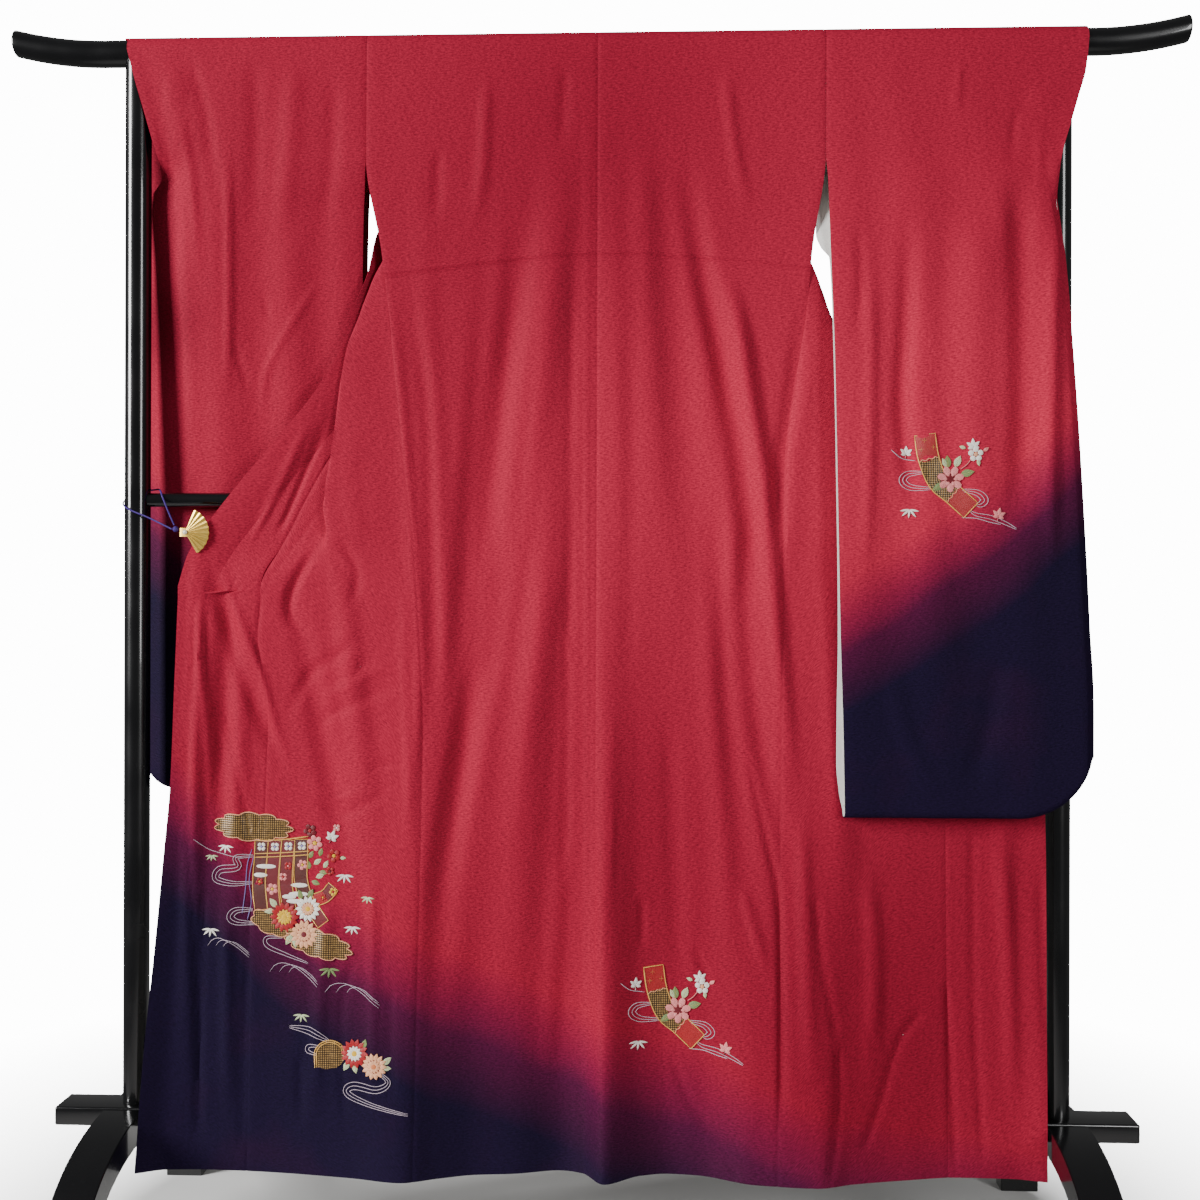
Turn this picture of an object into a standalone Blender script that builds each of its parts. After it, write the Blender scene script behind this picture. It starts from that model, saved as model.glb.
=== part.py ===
"""Furisode kimono hung over a black lacquered garment stand.

Units are metres and up is +Z.  The back of the kimono faces -Y, left and right
are as seen from there, and the floor is at Z = 0.  Tables of the cloth are in
millimetres; a depth is measured from the rod's axis towards -Y.
"""
import math

import bmesh
import bpy
import numpy as np

MM = 0.001
AXIS_X = np.array((1.0, 0.0, 0.0))
AXIS_Y = np.array((0.0, 1.0, 0.0))
AXIS_Z = np.array((0.0, 0.0, 1.0))

# Stand, metres.
ROD_Z = 1.682
ROD_R = 0.0185
ROD_HALF = 0.821
ROD_STRAIGHT = 0.690
ROD_LIFT = 0.017
ROD_EDGE = 0.003
POST_X = 0.644
POST_R = 0.018
RAIL_Z = 1.050
RAIL_R = 0.010
BASE_HALF = 0.750
BASE_DEEP = 0.0285
BASE_LOW = 0.172
BASE_HIGH = 0.198
BASE_BEVEL = 0.003
FOOT_INNER_X = 0.624
FOOT_OUTER_X = 0.680
FOOT_HALF = 0.270
FOOT_HIGH = 0.196
ARCH_HALF = 0.236
ARCH_HIGH = 0.156
ARCH_POWER = 2.3
JOINT = 0.0003

# Cloth, metres.
CLOTH = 0.0014
HALF_CLOTH = CLOTH / 2.0
SEAM = 0.0003
WRAP_R = ROD_R + 0.0011 + HALF_CLOTH
HEM_Z = 0.125
SKIRT_TOP_Z = 1.250
SEAM_TOP_Z = 1.405
CENTRE_X = 0.008
TUCK_Z = 1.372
TUCK_HIGH = 0.020
TUCK_DEEP = 2.2

# Columns: height, place along X of the side seam.
SIDE_LEFT = ((1682, -315), (1525, -315), (1405, -293), (1248, -276), (1082, -258),
             (975, -245), (703, -231), (391, -234), (125, -236))
SIDE_RIGHT = ((1682, 322), (1525, 322), (1405, 305), (1295, 294), (1103, 268),
              (975, 265), (638, 261), (125, 255))
# Columns: height, place along X of the overlap's seam below the pleat.
OVERLAP_LEFT = ((910, -461), (856, -464), (812, -457), (753, -449), (625, -451),
                (467, -470), (125, -469))
OVERLAP_RIGHT = ((910, 484), (620, 486), (366, 488), (125, 490))
# Columns: height, place along X of the free front edge.
EDGE_LEFT = ((921, -576), (783, -580), (660, -583), (551, -591), (420, -601),
             (312, -610), (206, -616), (125, -619))
EDGE_RIGHT = ((921, 600), (783, 609), (625, 616), (420, 619), (125, 619))
# Columns: height in metres, depth of the plain hanging cloth.
REST = ((1.682, 20.3), (1.600, 21.0), (1.400, 22.6), (1.050, 25.0), (0.125, 25.0))
# Columns: place along X, depth of the hem in front of the rod's axis.
HEM_WAVE = ((-619, 75), (-580, 58), (-530, 55), (-460, 58), (-322, 76), (-252, 90),
            (-205, 73), (-157, 57), (-100, 50), (-39, 35), (-8, 44), (22, 82),
            (69, 50), (108, 40), (150, 44), (225, 74), (309, 82), (356, 66),
            (430, 48), (504, 35), (575, 36), (619, 46))
# Columns: height and place along X at the top, the same at the foot, half width,
# and how far the fold stands out (below zero it is a trough).
FOLDS = ((1330, -148, 640, -186, 26, -7.0),
         (1300, -92, 560, -176, 24, 5.0),
         (1180, -58, 430, -146, 22, -5.0),
         (1120, -30, 420, -104, 24, 4.5),
         (1500, 96, 900, 152, 34, -6.0),
         (1020, 170, 420, 226, 24, -6.0),
         (1250, 196, 700, 218, 26, 4.5),
         (1480, 28, 980, 44, 30, 3.5),
         (1440, -236, 760, -204, 24, 3.0),
         (980, -352, 560, -300, 24, 5.5),
         (900, -410, 520, -330, 22, -5.0),
         (960, -548, 300, -556, 16, 7.0),
         (930, -506, 560, -520, 20, -7.0),
         (880, -480, 380, -500, 18, 4.0),
         (900, 330, 420, 352, 24, 4.0),
         (880, 560, 420, 566, 22, 4.0))
FOLD_SPREAD = 0.4
# Front panel, left side, seen in plan at each height.  Columns: height, then X and
# depth of the side edge, of the pleat's near turn, of its far turn and of the
# seam to collar or overlap.
PLEAT = ((1682, -315, -20.3, -240.2, -20.3, -165.3, -20.3, -90.5, -20.3),
         (1640, -315, -20.6, -250, -25.0, -184, -21.2, -118.5, -22.5),
         (1600, -315, -20.8, -260, -33.0, -205, -21.5, -150.5, -25.0),
         (1525, -315, -21.0, -281, -33.0, -241, -22.0, -210.5, -29.0),
         (1470, -307, -4.0, -290, -15.0, -258, -13.0, -245.5, -28.0),
         (1438, -300, 10.0, -278, -1.0, -242, -6.0, -257.7, -26.5),
         (1405, -294, 20.0, -266, 9.0, -224, -5.0, -269.5, -22.0),
         (1360, -290, 21.0, -266, 13.0, -214, -3.0, -290.5, -8.0),
         (1335, -286, 23.0, -278, 15.0, -220, 1.0, -295.8, -3.5),
         (1310, -284, 23.5, -291, 17.5, -230, 5.0, -301.0, 0.0),
         (1285, -281, 24.0, -318, 20.0, -240, 7.5, -304.0, 1.0),
         (1260, -278, 24.5, -345, 22.5, -250, 10.0, -306.5, 2.0),
         (1210, -272, 25.0, -350, 23.5, -262, 12.0, -311.0, 5.0),
         (1160, -267, 25.5, -355, 24.5, -278, 14.0, -331.0, 9.0),
         (1100, -260, 26.0, -364, 25.5, -305, 16.0, -372.0, 12.0),
         (1040, -253, 26.5, -369, 28.0, -345, 16.0, -405.0, 14.0),
         (1008, -249, 27.0, -360, 29.0, -368, 17.0, -420.6, 15.4),
         (975, -245, 27.5, -350, 27.8, -384, 21.5, -438.0, 17.0),
         (917.5, -242, 29.0, -315, 29.0, -388, 28.0, -459.0, 27.0))
# Collar, left half from the neck's corner.  Columns: X, depth and height of the
# sewn edge, then of the free edge.
COLLAR = ((-89.6, -20.4, 1682, -66, -25.0, 1641),
          (-117.6, -22.5, 1640, -94, -31.0, 1597),
          (-149.6, -25.0, 1600, -128, -40.0, 1558),
          (-209.6, -29.0, 1525, -204, -54.0, 1482),
          (-244.6, -29.2, 1470, -257, -56.0, 1440),
          (-258.8, -27.8, 1438, -287, -35.0, 1436),
          (-270.4, -22.0, 1405, -300, 4.0, 1428),
          (-291.4, -8.0, 1360, -318, 14.5, 1366),
          (-302.0, 0.0, 1310, -333, 16.5, 1318),
          (-308.0, 2.5, 1260, -345, 17.5, 1275),
          (-319.5, 6.0, 1210, -359.5, 18.0, 1243),
          (-352.4, 10.0, 1160, -392, 19.5, 1193),
          (-401.4, 13.0, 1100, -441.4, 21.0, 1133),
          (-451.8, 15.5, 1040, -491.8, 23.0, 1073),
          (-501.0, 20.5, 975, -541, 26.5, 1008),
          (-523.5, 25.0, 935, -564, 28.5, 969),
          (-528.0, 26.3, 923.0, -576, 30.0, 928))
# Collar where it turns the neck's corner over the rod.  Columns: angle from the
# rod's top of the sewn edge, then X in millimetres, height and depth of the free edge.
NECK_CORNER = ((0.045, -38.0, 1.654, -21.0),
               (0.410, -46.0, 1.652, -22.0),
               (0.785, -53.0, 1.649, -23.0),
               (1.180, -60.0, 1.645, -24.0))
NECK_Z = 1.655
COLLAR_CLEAR = 0.9
# Sleeves in plan.  Columns: height, then X and depth of the inner edge, of the
# turn near the outer edge and of the outer edge.
RIGHT_NEAR = ((1682, 322.6, 20.3, 560, 20.3, 680, 20.3),
              (1640, 322.6, 20.5, 560, 20.9, 676, 21.2),
              (1600, 322.6, 20.8, 570, 22.0, 665, 23.2),
              (1560, 322.6, 21.2, 590, 24.5, 653, 27.0),
              (1525, 322.6, 21.8, 605, 28.0, 642, 33.0),
              (1490, 325.0, 26.0, 618, 38.0, 635, 40.0),
              (1455, 326.0, 30.0, 621, 43.0, 632, 38.0),
              (1380, 328.0, 38.0, 631, 48.5, 641, 42.5),
              (1250, 332.0, 50.0, 641, 53.0, 651, 46.5),
              (1100, 335.0, 55.5, 651, 55.5, 661, 48.5),
              (860, 340.0, 58.0, 664, 56.5, 674, 49.5),
              (720, 344.0, 60.0, 669, 56.5, 679, 49.5),
              (617, 346.0, 60.0, 669, 56.5, 679, 49.5))
RIGHT_FAR = ((1682, 322.6, -20.3, 560, -20.3, 680, -20.3),
             (1640, 322.6, -20.6, 560, -21.5, 666, -22.5),
             (1600, 322.6, -20.8, 560, -21.5, 640, -24.0),
             (1560, 322.6, -20.4, 555, -17.0, 612, -12.0),
             (1525, 322.6, -20.6, 560, -4.0, 608, 11.0),
             (1490, 320.5, -8.0, 585, 18.0, 620, 28.0),
             (1455, 319.5, 8.0, 604, 30.0, 632, 38.0),
             (1380, 318.0, 28.0, 631, 36.5, 641, 42.5),
             (1250, 322.0, 36.5, 641, 40.0, 651, 46.5),
             (1100, 326.0, 41.0, 651, 42.5, 661, 48.5),
             (860, 331.0, 44.0, 664, 43.0, 674, 49.5),
             (720, 335.0, 46.0, 669, 43.0, 679, 49.5),
             (617, 337.0, 47.0, 669, 43.0, 679, 49.5))
LEFT_NEAR = ((1682, -315.6, 20.3, -560, 20.3, -642, 20.3),
             (1640, -315.6, 20.5, -560, 20.6, -629, 21.0),
             (1600, -315.6, 20.2, -565, 18.0, -616, 16.0),
             (1560, -315.6, 20.6, -572, 13.0, -609, 7.0),
             (1525, -315.6, 20.8, -578, 9.0, -607, -3.0),
             (1490, -318.0, 15.0, -584, 7.0, -609, -18.0),
             (1455, -321.0, 7.0, -588, 5.0, -618, -36.0),
             (1380, -324.0, -1.0, -590, 2.0, -628, -47.0),
             (1250, -326.0, -10.5, -586, -5.0, -637, -53.0),
             (1100, -326.0, -16.5, -586, -15.0, -640, -55.0),
             (1050, -326.0, -17.5, -587, -17.0, -641, -56.0),
             (860, -326.0, -18.5, -590, -18.0, -642, -57.0),
             (640, -326.0, -19.0, -590, -19.0, -643, -58.0))
LEFT_FAR = ((1682, -315.6, -20.3, -560, -20.3, -672, -20.3),
            (1640, -315.6, -20.6, -560, -22.5, -659, -24.0),
            (1600, -315.6, -20.4, -565, -26.0, -647, -27.0),
            (1560, -315.6, -20.8, -565, -29.0, -634, -29.5),
            (1525, -315.6, -21.0, -565, -31.0, -628, -31.0),
            (1490, -318.0, -23.0, -568, -33.0, -623, -33.5),
            (1455, -320.0, -25.0, -570, -35.0, -618, -36.0),
            (1380, -322.0, -28.0, -572, -38.0, -628, -47.0),
            (1250, -323.0, -31.0, -572, -41.0, -637, -53.0),
            (1100, -324.0, -33.0, -572, -43.0, -640, -55.0),
            (1050, -324.0, -33.5, -572, -43.0, -641, -56.0),
            (860, -324.0, -34.0, -572, -44.0, -642, -57.0),
            (640, -324.0, -34.0, -572, -45.0, -643, -58.0))
# Sleeve folds.  Columns: share of the width at the top and at the bottom, half
# width of the fold as a share, how far it stands out.
SLEEVE_FOLDS = ((0.10, 0.08, 0.08, 2.5),
                (0.22, 0.24, 0.09, -2.5),
                (0.38, 0.40, 0.10, 3.5),
                (0.58, 0.55, 0.12, -3.5),
                (0.80, 0.76, 0.12, 3.5))
FAR_FOLD = 0.3
# Heights of the cloth's rows, metres.
UPPER_ROWS = tuple(row[0] * MM for row in PLEAT)
OVERLAP_ROWS = (1.210, 1.160, 1.100, 1.040, 0.975, 0.9215, 0.9175)
LOWER_ROWS = (0.820, 0.710, 0.590, 0.470, 0.350, 0.235, HEM_Z)
SLEEVE_ROWS = (1.682, 1.640, 1.600, 1.560, 1.525, 1.490, 1.455, 1.380, 1.250, 1.100,
               0.980, 0.860, 0.720)
MOUTH_END_Z = 1.455
PANEL_STEPS = (0.0, 0.36, 0.72, 1.0, 1.28, 1.54, 1.77, 2.0, 2.23, 2.48, 2.74, 3.0)
NECK_STEPS = 3
OVERLAP_STEPS = 6
SLEEVE_STEPS = 8
COLLAR_STEPS = 4
NECK_SHARES = (0.33, 0.5, 0.67)
LINING_START = 6
LINING_COLUMNS = 3
# Near layer, far layer, foot's height, corner's radius, steps in the turned edge.
LEFT_SLEEVE = (LEFT_NEAR, LEFT_FAR, 0.637, 0.055, 3)
RIGHT_SLEEVE = (RIGHT_NEAR, RIGHT_FAR, 0.617, 0.100, 1)
ROUND_ROW = 0.009
WRAP_TURNS = (0.0, math.pi / 6.0, math.pi / 3.0)

# Clips, metres.
FAN_R = 0.034
FAN_RINGS = (0.0040, 0.0105, 0.0115, 0.0325, FAN_R)
FAN_FLAT = 0.020
FAN_TOOTH = 0.0012
FAN_RIBS = 10
FAN_SPREAD = math.radians(128.0)
FAN_LEAN = math.radians(4.0)
FAN_THICK = 0.0014
FAN_PLEAT = 0.0011
LINING = 0.0010
FAN_X = 0.566
FAN_Z = 1.003
FAN_DEPTH = 0.0303
CORD_R = 0.0012
KNOT_R = 0.0042
PIVOT_R = 0.0034
PIVOT_FLAT = 0.6
KNOT_FLAT = 0.9
CLIP_CLOTH_DEPTH = 0.0264
JAW_HALF_GAP = 0.0023
JAW_REACH = 0.030
JAW_BEND = 0.012
JAW_HEEL = 0.002
JAW_TAIL = 0.0090
JAW_HALF_WIDE = 0.006
JAW_THICK = 0.0010
# The cord's way round the post: clearance, first height, rise a turn, degrees.
CORD_CLEAR = 0.0007
CORD_LOW = 1.033
CORD_RISE = 0.0075
CORD_TURNS = (-90, -45, 0, 45, 90)

# Colours, linear RGB, with roughness and metallic.
LACQUER = (0.004, 0.004, 0.005, 0.08, 0.0)
CRIMSON = (0.42, 0.035, 0.06, 0.62, 0.0)
WHITE_SILK = (0.78, 0.75, 0.72, 0.55, 0.0)
GILT = (0.80, 0.55, 0.18, 0.28, 1.0)
PEARL = (0.85, 0.80, 0.70, 0.25, 0.0)
PURPLE = (0.12, 0.02, 0.13, 0.60, 0.0)


def finish(name, values):
    """Return a material with the given colour, roughness and metallic."""
    material = bpy.data.materials.get(name)
    if material is None:
        material = bpy.data.materials.new(name)
        material.use_nodes = True
        shader = material.node_tree.nodes["Principled BSDF"]
        shader.inputs["Base Color"].default_value = (*values[:3], 1.0)
        shader.inputs["Roughness"].default_value = values[3]
        shader.inputs["Metallic"].default_value = values[4]
    return material


def add_solid(name, points, faces, material, sharp=40.0):
    """Add one closed body with its faces turned out and smooth shading."""
    mesh = bpy.data.meshes.new(name)
    mesh.from_pydata([tuple(p) for p in points], [], faces)
    form = bmesh.new()
    form.from_mesh(mesh)
    bmesh.ops.recalc_face_normals(form, faces=form.faces)
    form.to_mesh(mesh)
    form.free()
    mesh.shade_smooth()
    mesh.set_sharp_from_angle(angle=math.radians(sharp))
    mesh.materials.append(material)
    item = bpy.data.objects.new(name, mesh)
    bpy.context.scene.collection.objects.link(item)
    return item


def point(x, depth, z):
    """Return a world point in metres from millimetres across and in depth."""
    return np.array((x * MM, -depth * MM, z))


def smooth_row(table, key):
    """Read a table at a key with a curve that doesn't swing past its rows."""
    rows = np.array(table, dtype=float)
    if rows[0, 0] > rows[-1, 0]:
        rows = rows[::-1]
    keys = rows[:, 0]
    values = rows[:, 1:]
    key = min(max(key, keys[0]), keys[-1])
    place = min(int(np.searchsorted(keys, key, side="right")) - 1, len(keys) - 2)
    gaps = np.diff(keys)
    slopes = np.diff(values, axis=0) / gaps[:, None]
    tangents = np.zeros_like(values)
    tangents[0] = slopes[0]
    tangents[-1] = slopes[-1]
    same = slopes[:-1] * slopes[1:] > 0.0
    total = np.where(same, slopes[:-1] + slopes[1:], 1.0)
    tangents[1:-1] = np.where(same, 2.0 * slopes[:-1] * slopes[1:] / total, 0.0)
    gap = gaps[place]
    t = (key - keys[place]) / gap
    start = (1.0 + 2.0 * t) * (1.0 - t) ** 2 * values[place]
    end = t * t * (3.0 - 2.0 * t) * values[place + 1]
    lean = t * (1.0 - t) ** 2 * gap * tangents[place]
    rise = t * t * (t - 1.0) * gap * tangents[place + 1]
    return start + end + lean + rise


def along(corners, t):
    """Return the point at t on a soft curve through the corners."""
    count = len(corners)
    place = min(int(t), count - 2)
    local = t - place
    before = corners[max(place - 1, 0)]
    start = corners[place]
    end = corners[place + 1]
    after = corners[min(place + 2, count - 1)]
    lean = (end - before) / 2.0 if place > 0 else end - start
    rise = (after - start) / 2.0 if place + 2 < count else end - start
    return ((1.0 + 2.0 * local) * (1.0 - local) ** 2 * start
            + local * local * (3.0 - 2.0 * local) * end
            + local * (1.0 - local) ** 2 * lean
            + local * local * (local - 1.0) * rise)


def wall(name, grids, material, half=HALF_CLOTH):
    """Thicken joined grids of points into one closed wall of cloth."""
    sheet = bmesh.new()
    known = {}
    for grid in grids:
        corners = []
        for row in grid:
            line = []
            for spot in row:
                key = tuple(np.round(np.asarray(spot) / 0.00005).astype(int))
                if key not in known:
                    known[key] = sheet.verts.new(tuple(spot))
                line.append(known[key])
            corners.append(line)
        for upper, lower in zip(corners[:-1], corners[1:]):
            for column in range(len(upper) - 1):
                ring = [upper[column], upper[column + 1], lower[column + 1], lower[column]]
                ring = [v for k, v in enumerate(ring) if v is not ring[k - 1]]
                if len(ring) > 2:
                    sheet.faces.new(ring)
    bmesh.ops.triangulate(sheet, faces=sheet.faces[:], quad_method="SHORT_EDGE")
    bmesh.ops.recalc_face_normals(sheet, faces=sheet.faces)
    sheet.verts.index_update()
    sheet.normal_update()
    outer = []
    inner = []
    for vert in sheet.verts:
        normal = np.array(vert.normal)
        turn = np.mean([np.dot(normal, np.array(f.normal)) for f in vert.link_faces])
        reach = half / max(turn, 0.45)
        outer.append(np.array(vert.co) + normal * reach)
        inner.append(np.array(vert.co) - normal * reach)
    count = len(outer)
    faces = []
    for face in sheet.faces:
        ring = [v.index for v in face.verts]
        faces.append(ring)
        faces.append([k + count for k in reversed(ring)])
    for edge in sheet.edges:
        if len(edge.link_faces) == 1:
            first, last = edge.verts[0].index, edge.verts[1].index
            faces.append([first, last, last + count, first + count])
    sheet.free()
    return add_solid(name, outer + inner, faces, material)


def moved(grid, distance):
    """Return a grid moved along its own normals."""
    spots = np.array(grid)
    across = np.gradient(spots, axis=1)
    down = np.gradient(spots, axis=0)
    normals = np.cross(across, down)
    normals /= np.linalg.norm(normals, axis=2)[..., None]
    return spots + normals * distance


def rest_depth(z):
    """Return how far the plain cloth hangs in front of the rod's axis."""
    return float(smooth_row(REST, z)[0])


def skirt_depth(x, hem_x, z):
    """Return the depth of the hanging cloth, with the hem's waves and the folds."""
    share = max(0.0, (SKIRT_TOP_Z - z) / (SKIRT_TOP_Z - HEM_Z)) ** 2
    depth = rest_depth(z)
    depth += share * (float(smooth_row(HEM_WAVE, hem_x)[0]) - depth)
    for top_z, top_x, foot_z, foot_x, half, height in FOLDS:
        place = (top_z * MM - z) / ((top_z - foot_z) * MM)
        line = top_x + (foot_x - top_x) * place
        reach = 1.0 - min(1.0, abs(place - 0.5) / 0.75)
        off = abs(x - line) / (half * (1.0 + FOLD_SPREAD * max(place, 0.0)))
        if off < 1.0 and reach > 0.0:
            rise = math.sin(reach * math.pi / 2.0) * math.cos(off * math.pi / 2.0)
            depth += height * rise * rise
    tuck = (z - TUCK_Z) / TUCK_HIGH
    if 0.0 <= tuck < 1.0 and z < SEAM_TOP_Z:
        depth += TUCK_DEEP * (1.0 - tuck)
    return depth


def over_rod(x, turn, side):
    """Return a point on the rod's wrap; turn 0 is its top, side -1 the camera's."""
    return np.array((x * MM, side * WRAP_R * math.sin(turn), ROD_Z + WRAP_R * math.cos(turn)))


def side_table(side):
    """Return the side seam's table; side -1 is the left."""
    return SIDE_LEFT if side < 0 else SIDE_RIGHT


def seam_x(table, z):
    """Return a seam's place along X in millimetres at a height in metres."""
    return float(smooth_row(table, z / MM)[0])


def to_side(x, z, side):
    """Turn a left-hand place along X into the one on the wanted side."""
    if side < 0:
        return x
    return seam_x(SIDE_RIGHT, z) + seam_x(SIDE_LEFT, z) - x


def front_corners(row, side):
    """Return the four corners of the front panel's section at a table row."""
    height = row[0] * MM
    spots = []
    for k in range(4):
        x = row[1 + 2 * k]
        depth = row[2 + 2 * k]
        if k == 0 and height < SEAM_TOP_Z:
            x = min(x, seam_x(SIDE_LEFT, height) - SEAM / MM)
            if height < SKIRT_TOP_Z + 0.02:
                seam = seam_x(side_table(side), height)
                depth = skirt_depth(seam, seam_x(side_table(side), HEM_Z), height)
        spots.append(np.array((to_side(x, height, side), depth)))
    return spots


def front_grid(side):
    """Return the front panel's rows from the shoulder to the hem."""
    shoulder = front_corners(PLEAT[0], side)
    rows = []
    for turn in WRAP_TURNS:
        rows.append([over_rod(along(shoulder, t)[0], turn, 1.0) for t in PANEL_STEPS])
    for entry in PLEAT[:-1]:
        corners = front_corners(entry, side)
        rows.append([point(*along(corners, t), entry[0] * MM) for t in PANEL_STEPS])
    seam_table = OVERLAP_LEFT if side < 0 else OVERLAP_RIGHT
    gap = SEAM / MM
    for z in (UPPER_ROWS[-1],) + LOWER_ROWS:
        near = seam_x(side_table(side), z) + side * gap
        far = seam_x(seam_table, z)
        near_hem = seam_x(side_table(side), HEM_Z)
        far_hem = seam_x(seam_table, HEM_Z)
        even = min(1.0, (UPPER_ROWS[-1] - z) / 0.35)
        line = []
        for k, t in enumerate(PANEL_STEPS):
            share = t / 3.0 + (k / (len(PANEL_STEPS) - 1) - t / 3.0) * even
            x = near + (far - near) * share
            line.append(point(x, skirt_depth(x, near_hem + (far_hem - near_hem) * share, z), z))
        rows.append(line)
    return rows


def back_grid(side):
    """Return the back panel's rows from the rod's top to the hem."""
    shoulder = front_corners(PLEAT[0], side)
    edge = shoulder[0][0]
    neck = shoulder[-1][0]
    centre = CENTRE_X / MM + side * SEAM / MM / 2.0
    top = [along(shoulder, t)[0] for t in PANEL_STEPS]
    top += [neck + (centre - neck) * k / NECK_STEPS for k in range(1, NECK_STEPS + 1)]
    shares = [(x - edge) / (centre - edge) for x in top]
    count = len(shares) - 1
    rows = [[over_rod(x, turn, -1.0) for x in top] for turn in WRAP_TURNS]
    edge_hem = seam_x(side_table(side), HEM_Z)
    for z in UPPER_ROWS + LOWER_ROWS:
        near = seam_x(side_table(side), z)
        even = min(1.0, (ROD_Z - z) / 0.40)
        line = []
        for k, first in enumerate(shares):
            share = first + (k / count - first) * even
            x = near + (centre - near) * share
            line.append(point(x, skirt_depth(x, edge_hem + (centre - edge_hem) * share, z), z))
        rows.append(line)
    return rows


def overlap_grid(side, front):
    """Return the overlap panel's rows from its tip to the hem."""
    sewn = [row[-1] for row in front][::-1]
    sewn_z = [spot[2] for spot in sewn]
    collar = COLLAR[::-1]
    collar_z = [row[2] for row in collar]
    heights = OVERLAP_ROWS + LOWER_ROWS
    edge_table = EDGE_LEFT if side < 0 else EDGE_RIGHT
    seam_table = OVERLAP_LEFT if side < 0 else OVERLAP_RIGHT
    columns = OVERLAP_STEPS
    gap = 2.0 * SEAM
    rows = []
    for z in heights:
        inner = np.array([np.interp(z, sewn_z, [spot[k] for spot in sewn]) for k in range(3)])
        inner[0] += side * gap
        line = []
        if z > UPPER_ROWS[-1] + 0.001:
            outer_x = np.interp(z / MM, collar_z, [row[0] for row in collar])
            outer_d = np.interp(z / MM, collar_z, [row[1] for row in collar])
            outer = point(to_side(outer_x, z, side), outer_d, z)
            outer[0] -= side * gap
            line = [inner + (outer - inner) * k / columns for k in range(columns + 1)]
        else:
            outer_x = seam_x(edge_table, z)
            inner_hem = seam_x(seam_table, HEM_Z)
            outer_hem = seam_x(edge_table, HEM_Z)
            for k in range(columns + 1):
                share = k / columns
                x = inner[0] / MM + (outer_x - inner[0] / MM) * share
                hem_x = inner_hem + (outer_hem - inner_hem) * share
                line.append(point(x, skirt_depth(x, hem_x, z), z))
        rows.append(line)
    return rows


def band(sewn, free):
    """Return points across the collar between its two edges."""
    return [sewn + (free - sewn) * k / COLLAR_STEPS for k in range(COLLAR_STEPS + 1)]


def wrapped_band(x_sewn, x_free, turn, free_z, free_depth):
    """Return points across the collar where it bends over the back of the rod."""
    line = []
    for k in range(COLLAR_STEPS):
        x = x_sewn + (x_free - x_sewn) * k / COLLAR_STEPS
        angle = turn + (math.pi / 2.0 - turn) * k / (COLLAR_STEPS - 1)
        line.append(over_rod(x, angle, 1.0))
    line.append(point(x_free, free_depth, free_z))
    return line


def collar_half(side):
    """Return the collar's rows from the neck's corner to its end at the clip."""
    rows = []
    edge = to_side(PLEAT[0][-2], ROD_Z, side) - side * COLLAR_CLEAR
    for turn, free_x, free_z, free_depth in NECK_CORNER:
        rows.append(wrapped_band(edge, to_side(free_x, ROD_Z, side), turn, free_z, free_depth))
    for sewn_x, sewn_d, sewn_z, free_x, free_d, free_z in COLLAR:
        sewn = point(to_side(sewn_x, sewn_z * MM, side), sewn_d, sewn_z * MM)
        end = point(to_side(free_x, free_z * MM, side), free_d, free_z * MM)
        rows.append(band(sewn, end))
    return rows


def collar_grid():
    """Return the collar's rows from the left clip round the neck to the right one."""
    left = collar_half(-1)
    right = collar_half(1)
    first = left[0][0][0] / MM
    last = right[0][0][0] / MM
    neck = []
    for share in NECK_SHARES:
        x = first + (last - first) * share
        neck.append(wrapped_band(x, x, NECK_CORNER[0][0], NECK_Z, NECK_CORNER[0][3]))
    return left[::-1] + neck + right


def sleeve_layer(table, rows, side, edge_steps, foot, corner, fold_sign):
    """Return one layer of a sleeve from the shoulder down to just above its foot."""
    inner_steps = SLEEVE_STEPS
    grid = []
    top = smooth_row(table, table[0][0])
    across_rod = -1.0 if table[0][2] > 0.0 else 1.0
    for turn in WRAP_TURNS:
        line = []
        for k in range(inner_steps):
            line.append(over_rod(top[0] + (top[2] - top[0]) * k / inner_steps, turn, across_rod))
        for k in range(edge_steps + 1):
            line.append(over_rod(top[2] + (top[4] - top[2]) * k / edge_steps, turn, across_rod))
        grid.append(line)
    for z in rows:
        inner_x, inner_d, fold_x, fold_d, edge_x, edge_d = smooth_row(table, z / MM)
        line = []
        for k in range(inner_steps):
            share = k / inner_steps
            depth = inner_d + (fold_d - inner_d) * share
            depth += fold_sign * sleeve_fold(share, z, foot)
            line.append([inner_x + (fold_x - inner_x) * share, depth])
        for k in range(edge_steps + 1):
            share = k / edge_steps
            line.append([fold_x + (edge_x - fold_x) * share, fold_d + (edge_d - fold_d) * share])
        grid.append([point(x, d, foot_height(x, z, edge_x, foot, corner, side)) for x, d in line])
    return grid


def sleeve_fold(share, z, foot):
    """Return how far a sleeve's soft folds stand out at one place, millimetres."""
    drop = (ROD_Z - z) / (ROD_Z - foot)
    grown = min(1.0, drop / 0.30) * min(1.0, 0.35 + (1.0 - drop) / 0.4)
    total = 0.0
    for top, low, half, height in SLEEVE_FOLDS:
        off = abs(share - (top + (low - top) * drop)) / half
        if off < 1.0:
            total += height * math.cos(off * math.pi / 2.0) ** 2
    return total * grown


def foot_height(x, z, edge_x, foot, corner, side):
    """Return a point's height, lifted where the sleeve's lower corner is round."""
    reach = side * (x - edge_x) * MM + corner
    lift = 0.0
    if reach > 0.0:
        lift = corner - math.sqrt(max(corner * corner - min(reach, corner) ** 2, 0.0))
        lift = min(lift, corner * 0.86)
    start = foot + 0.25
    if z >= start:
        return z
    return foot + lift + (z - foot) * (start - foot - lift) / (start - foot)


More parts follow.
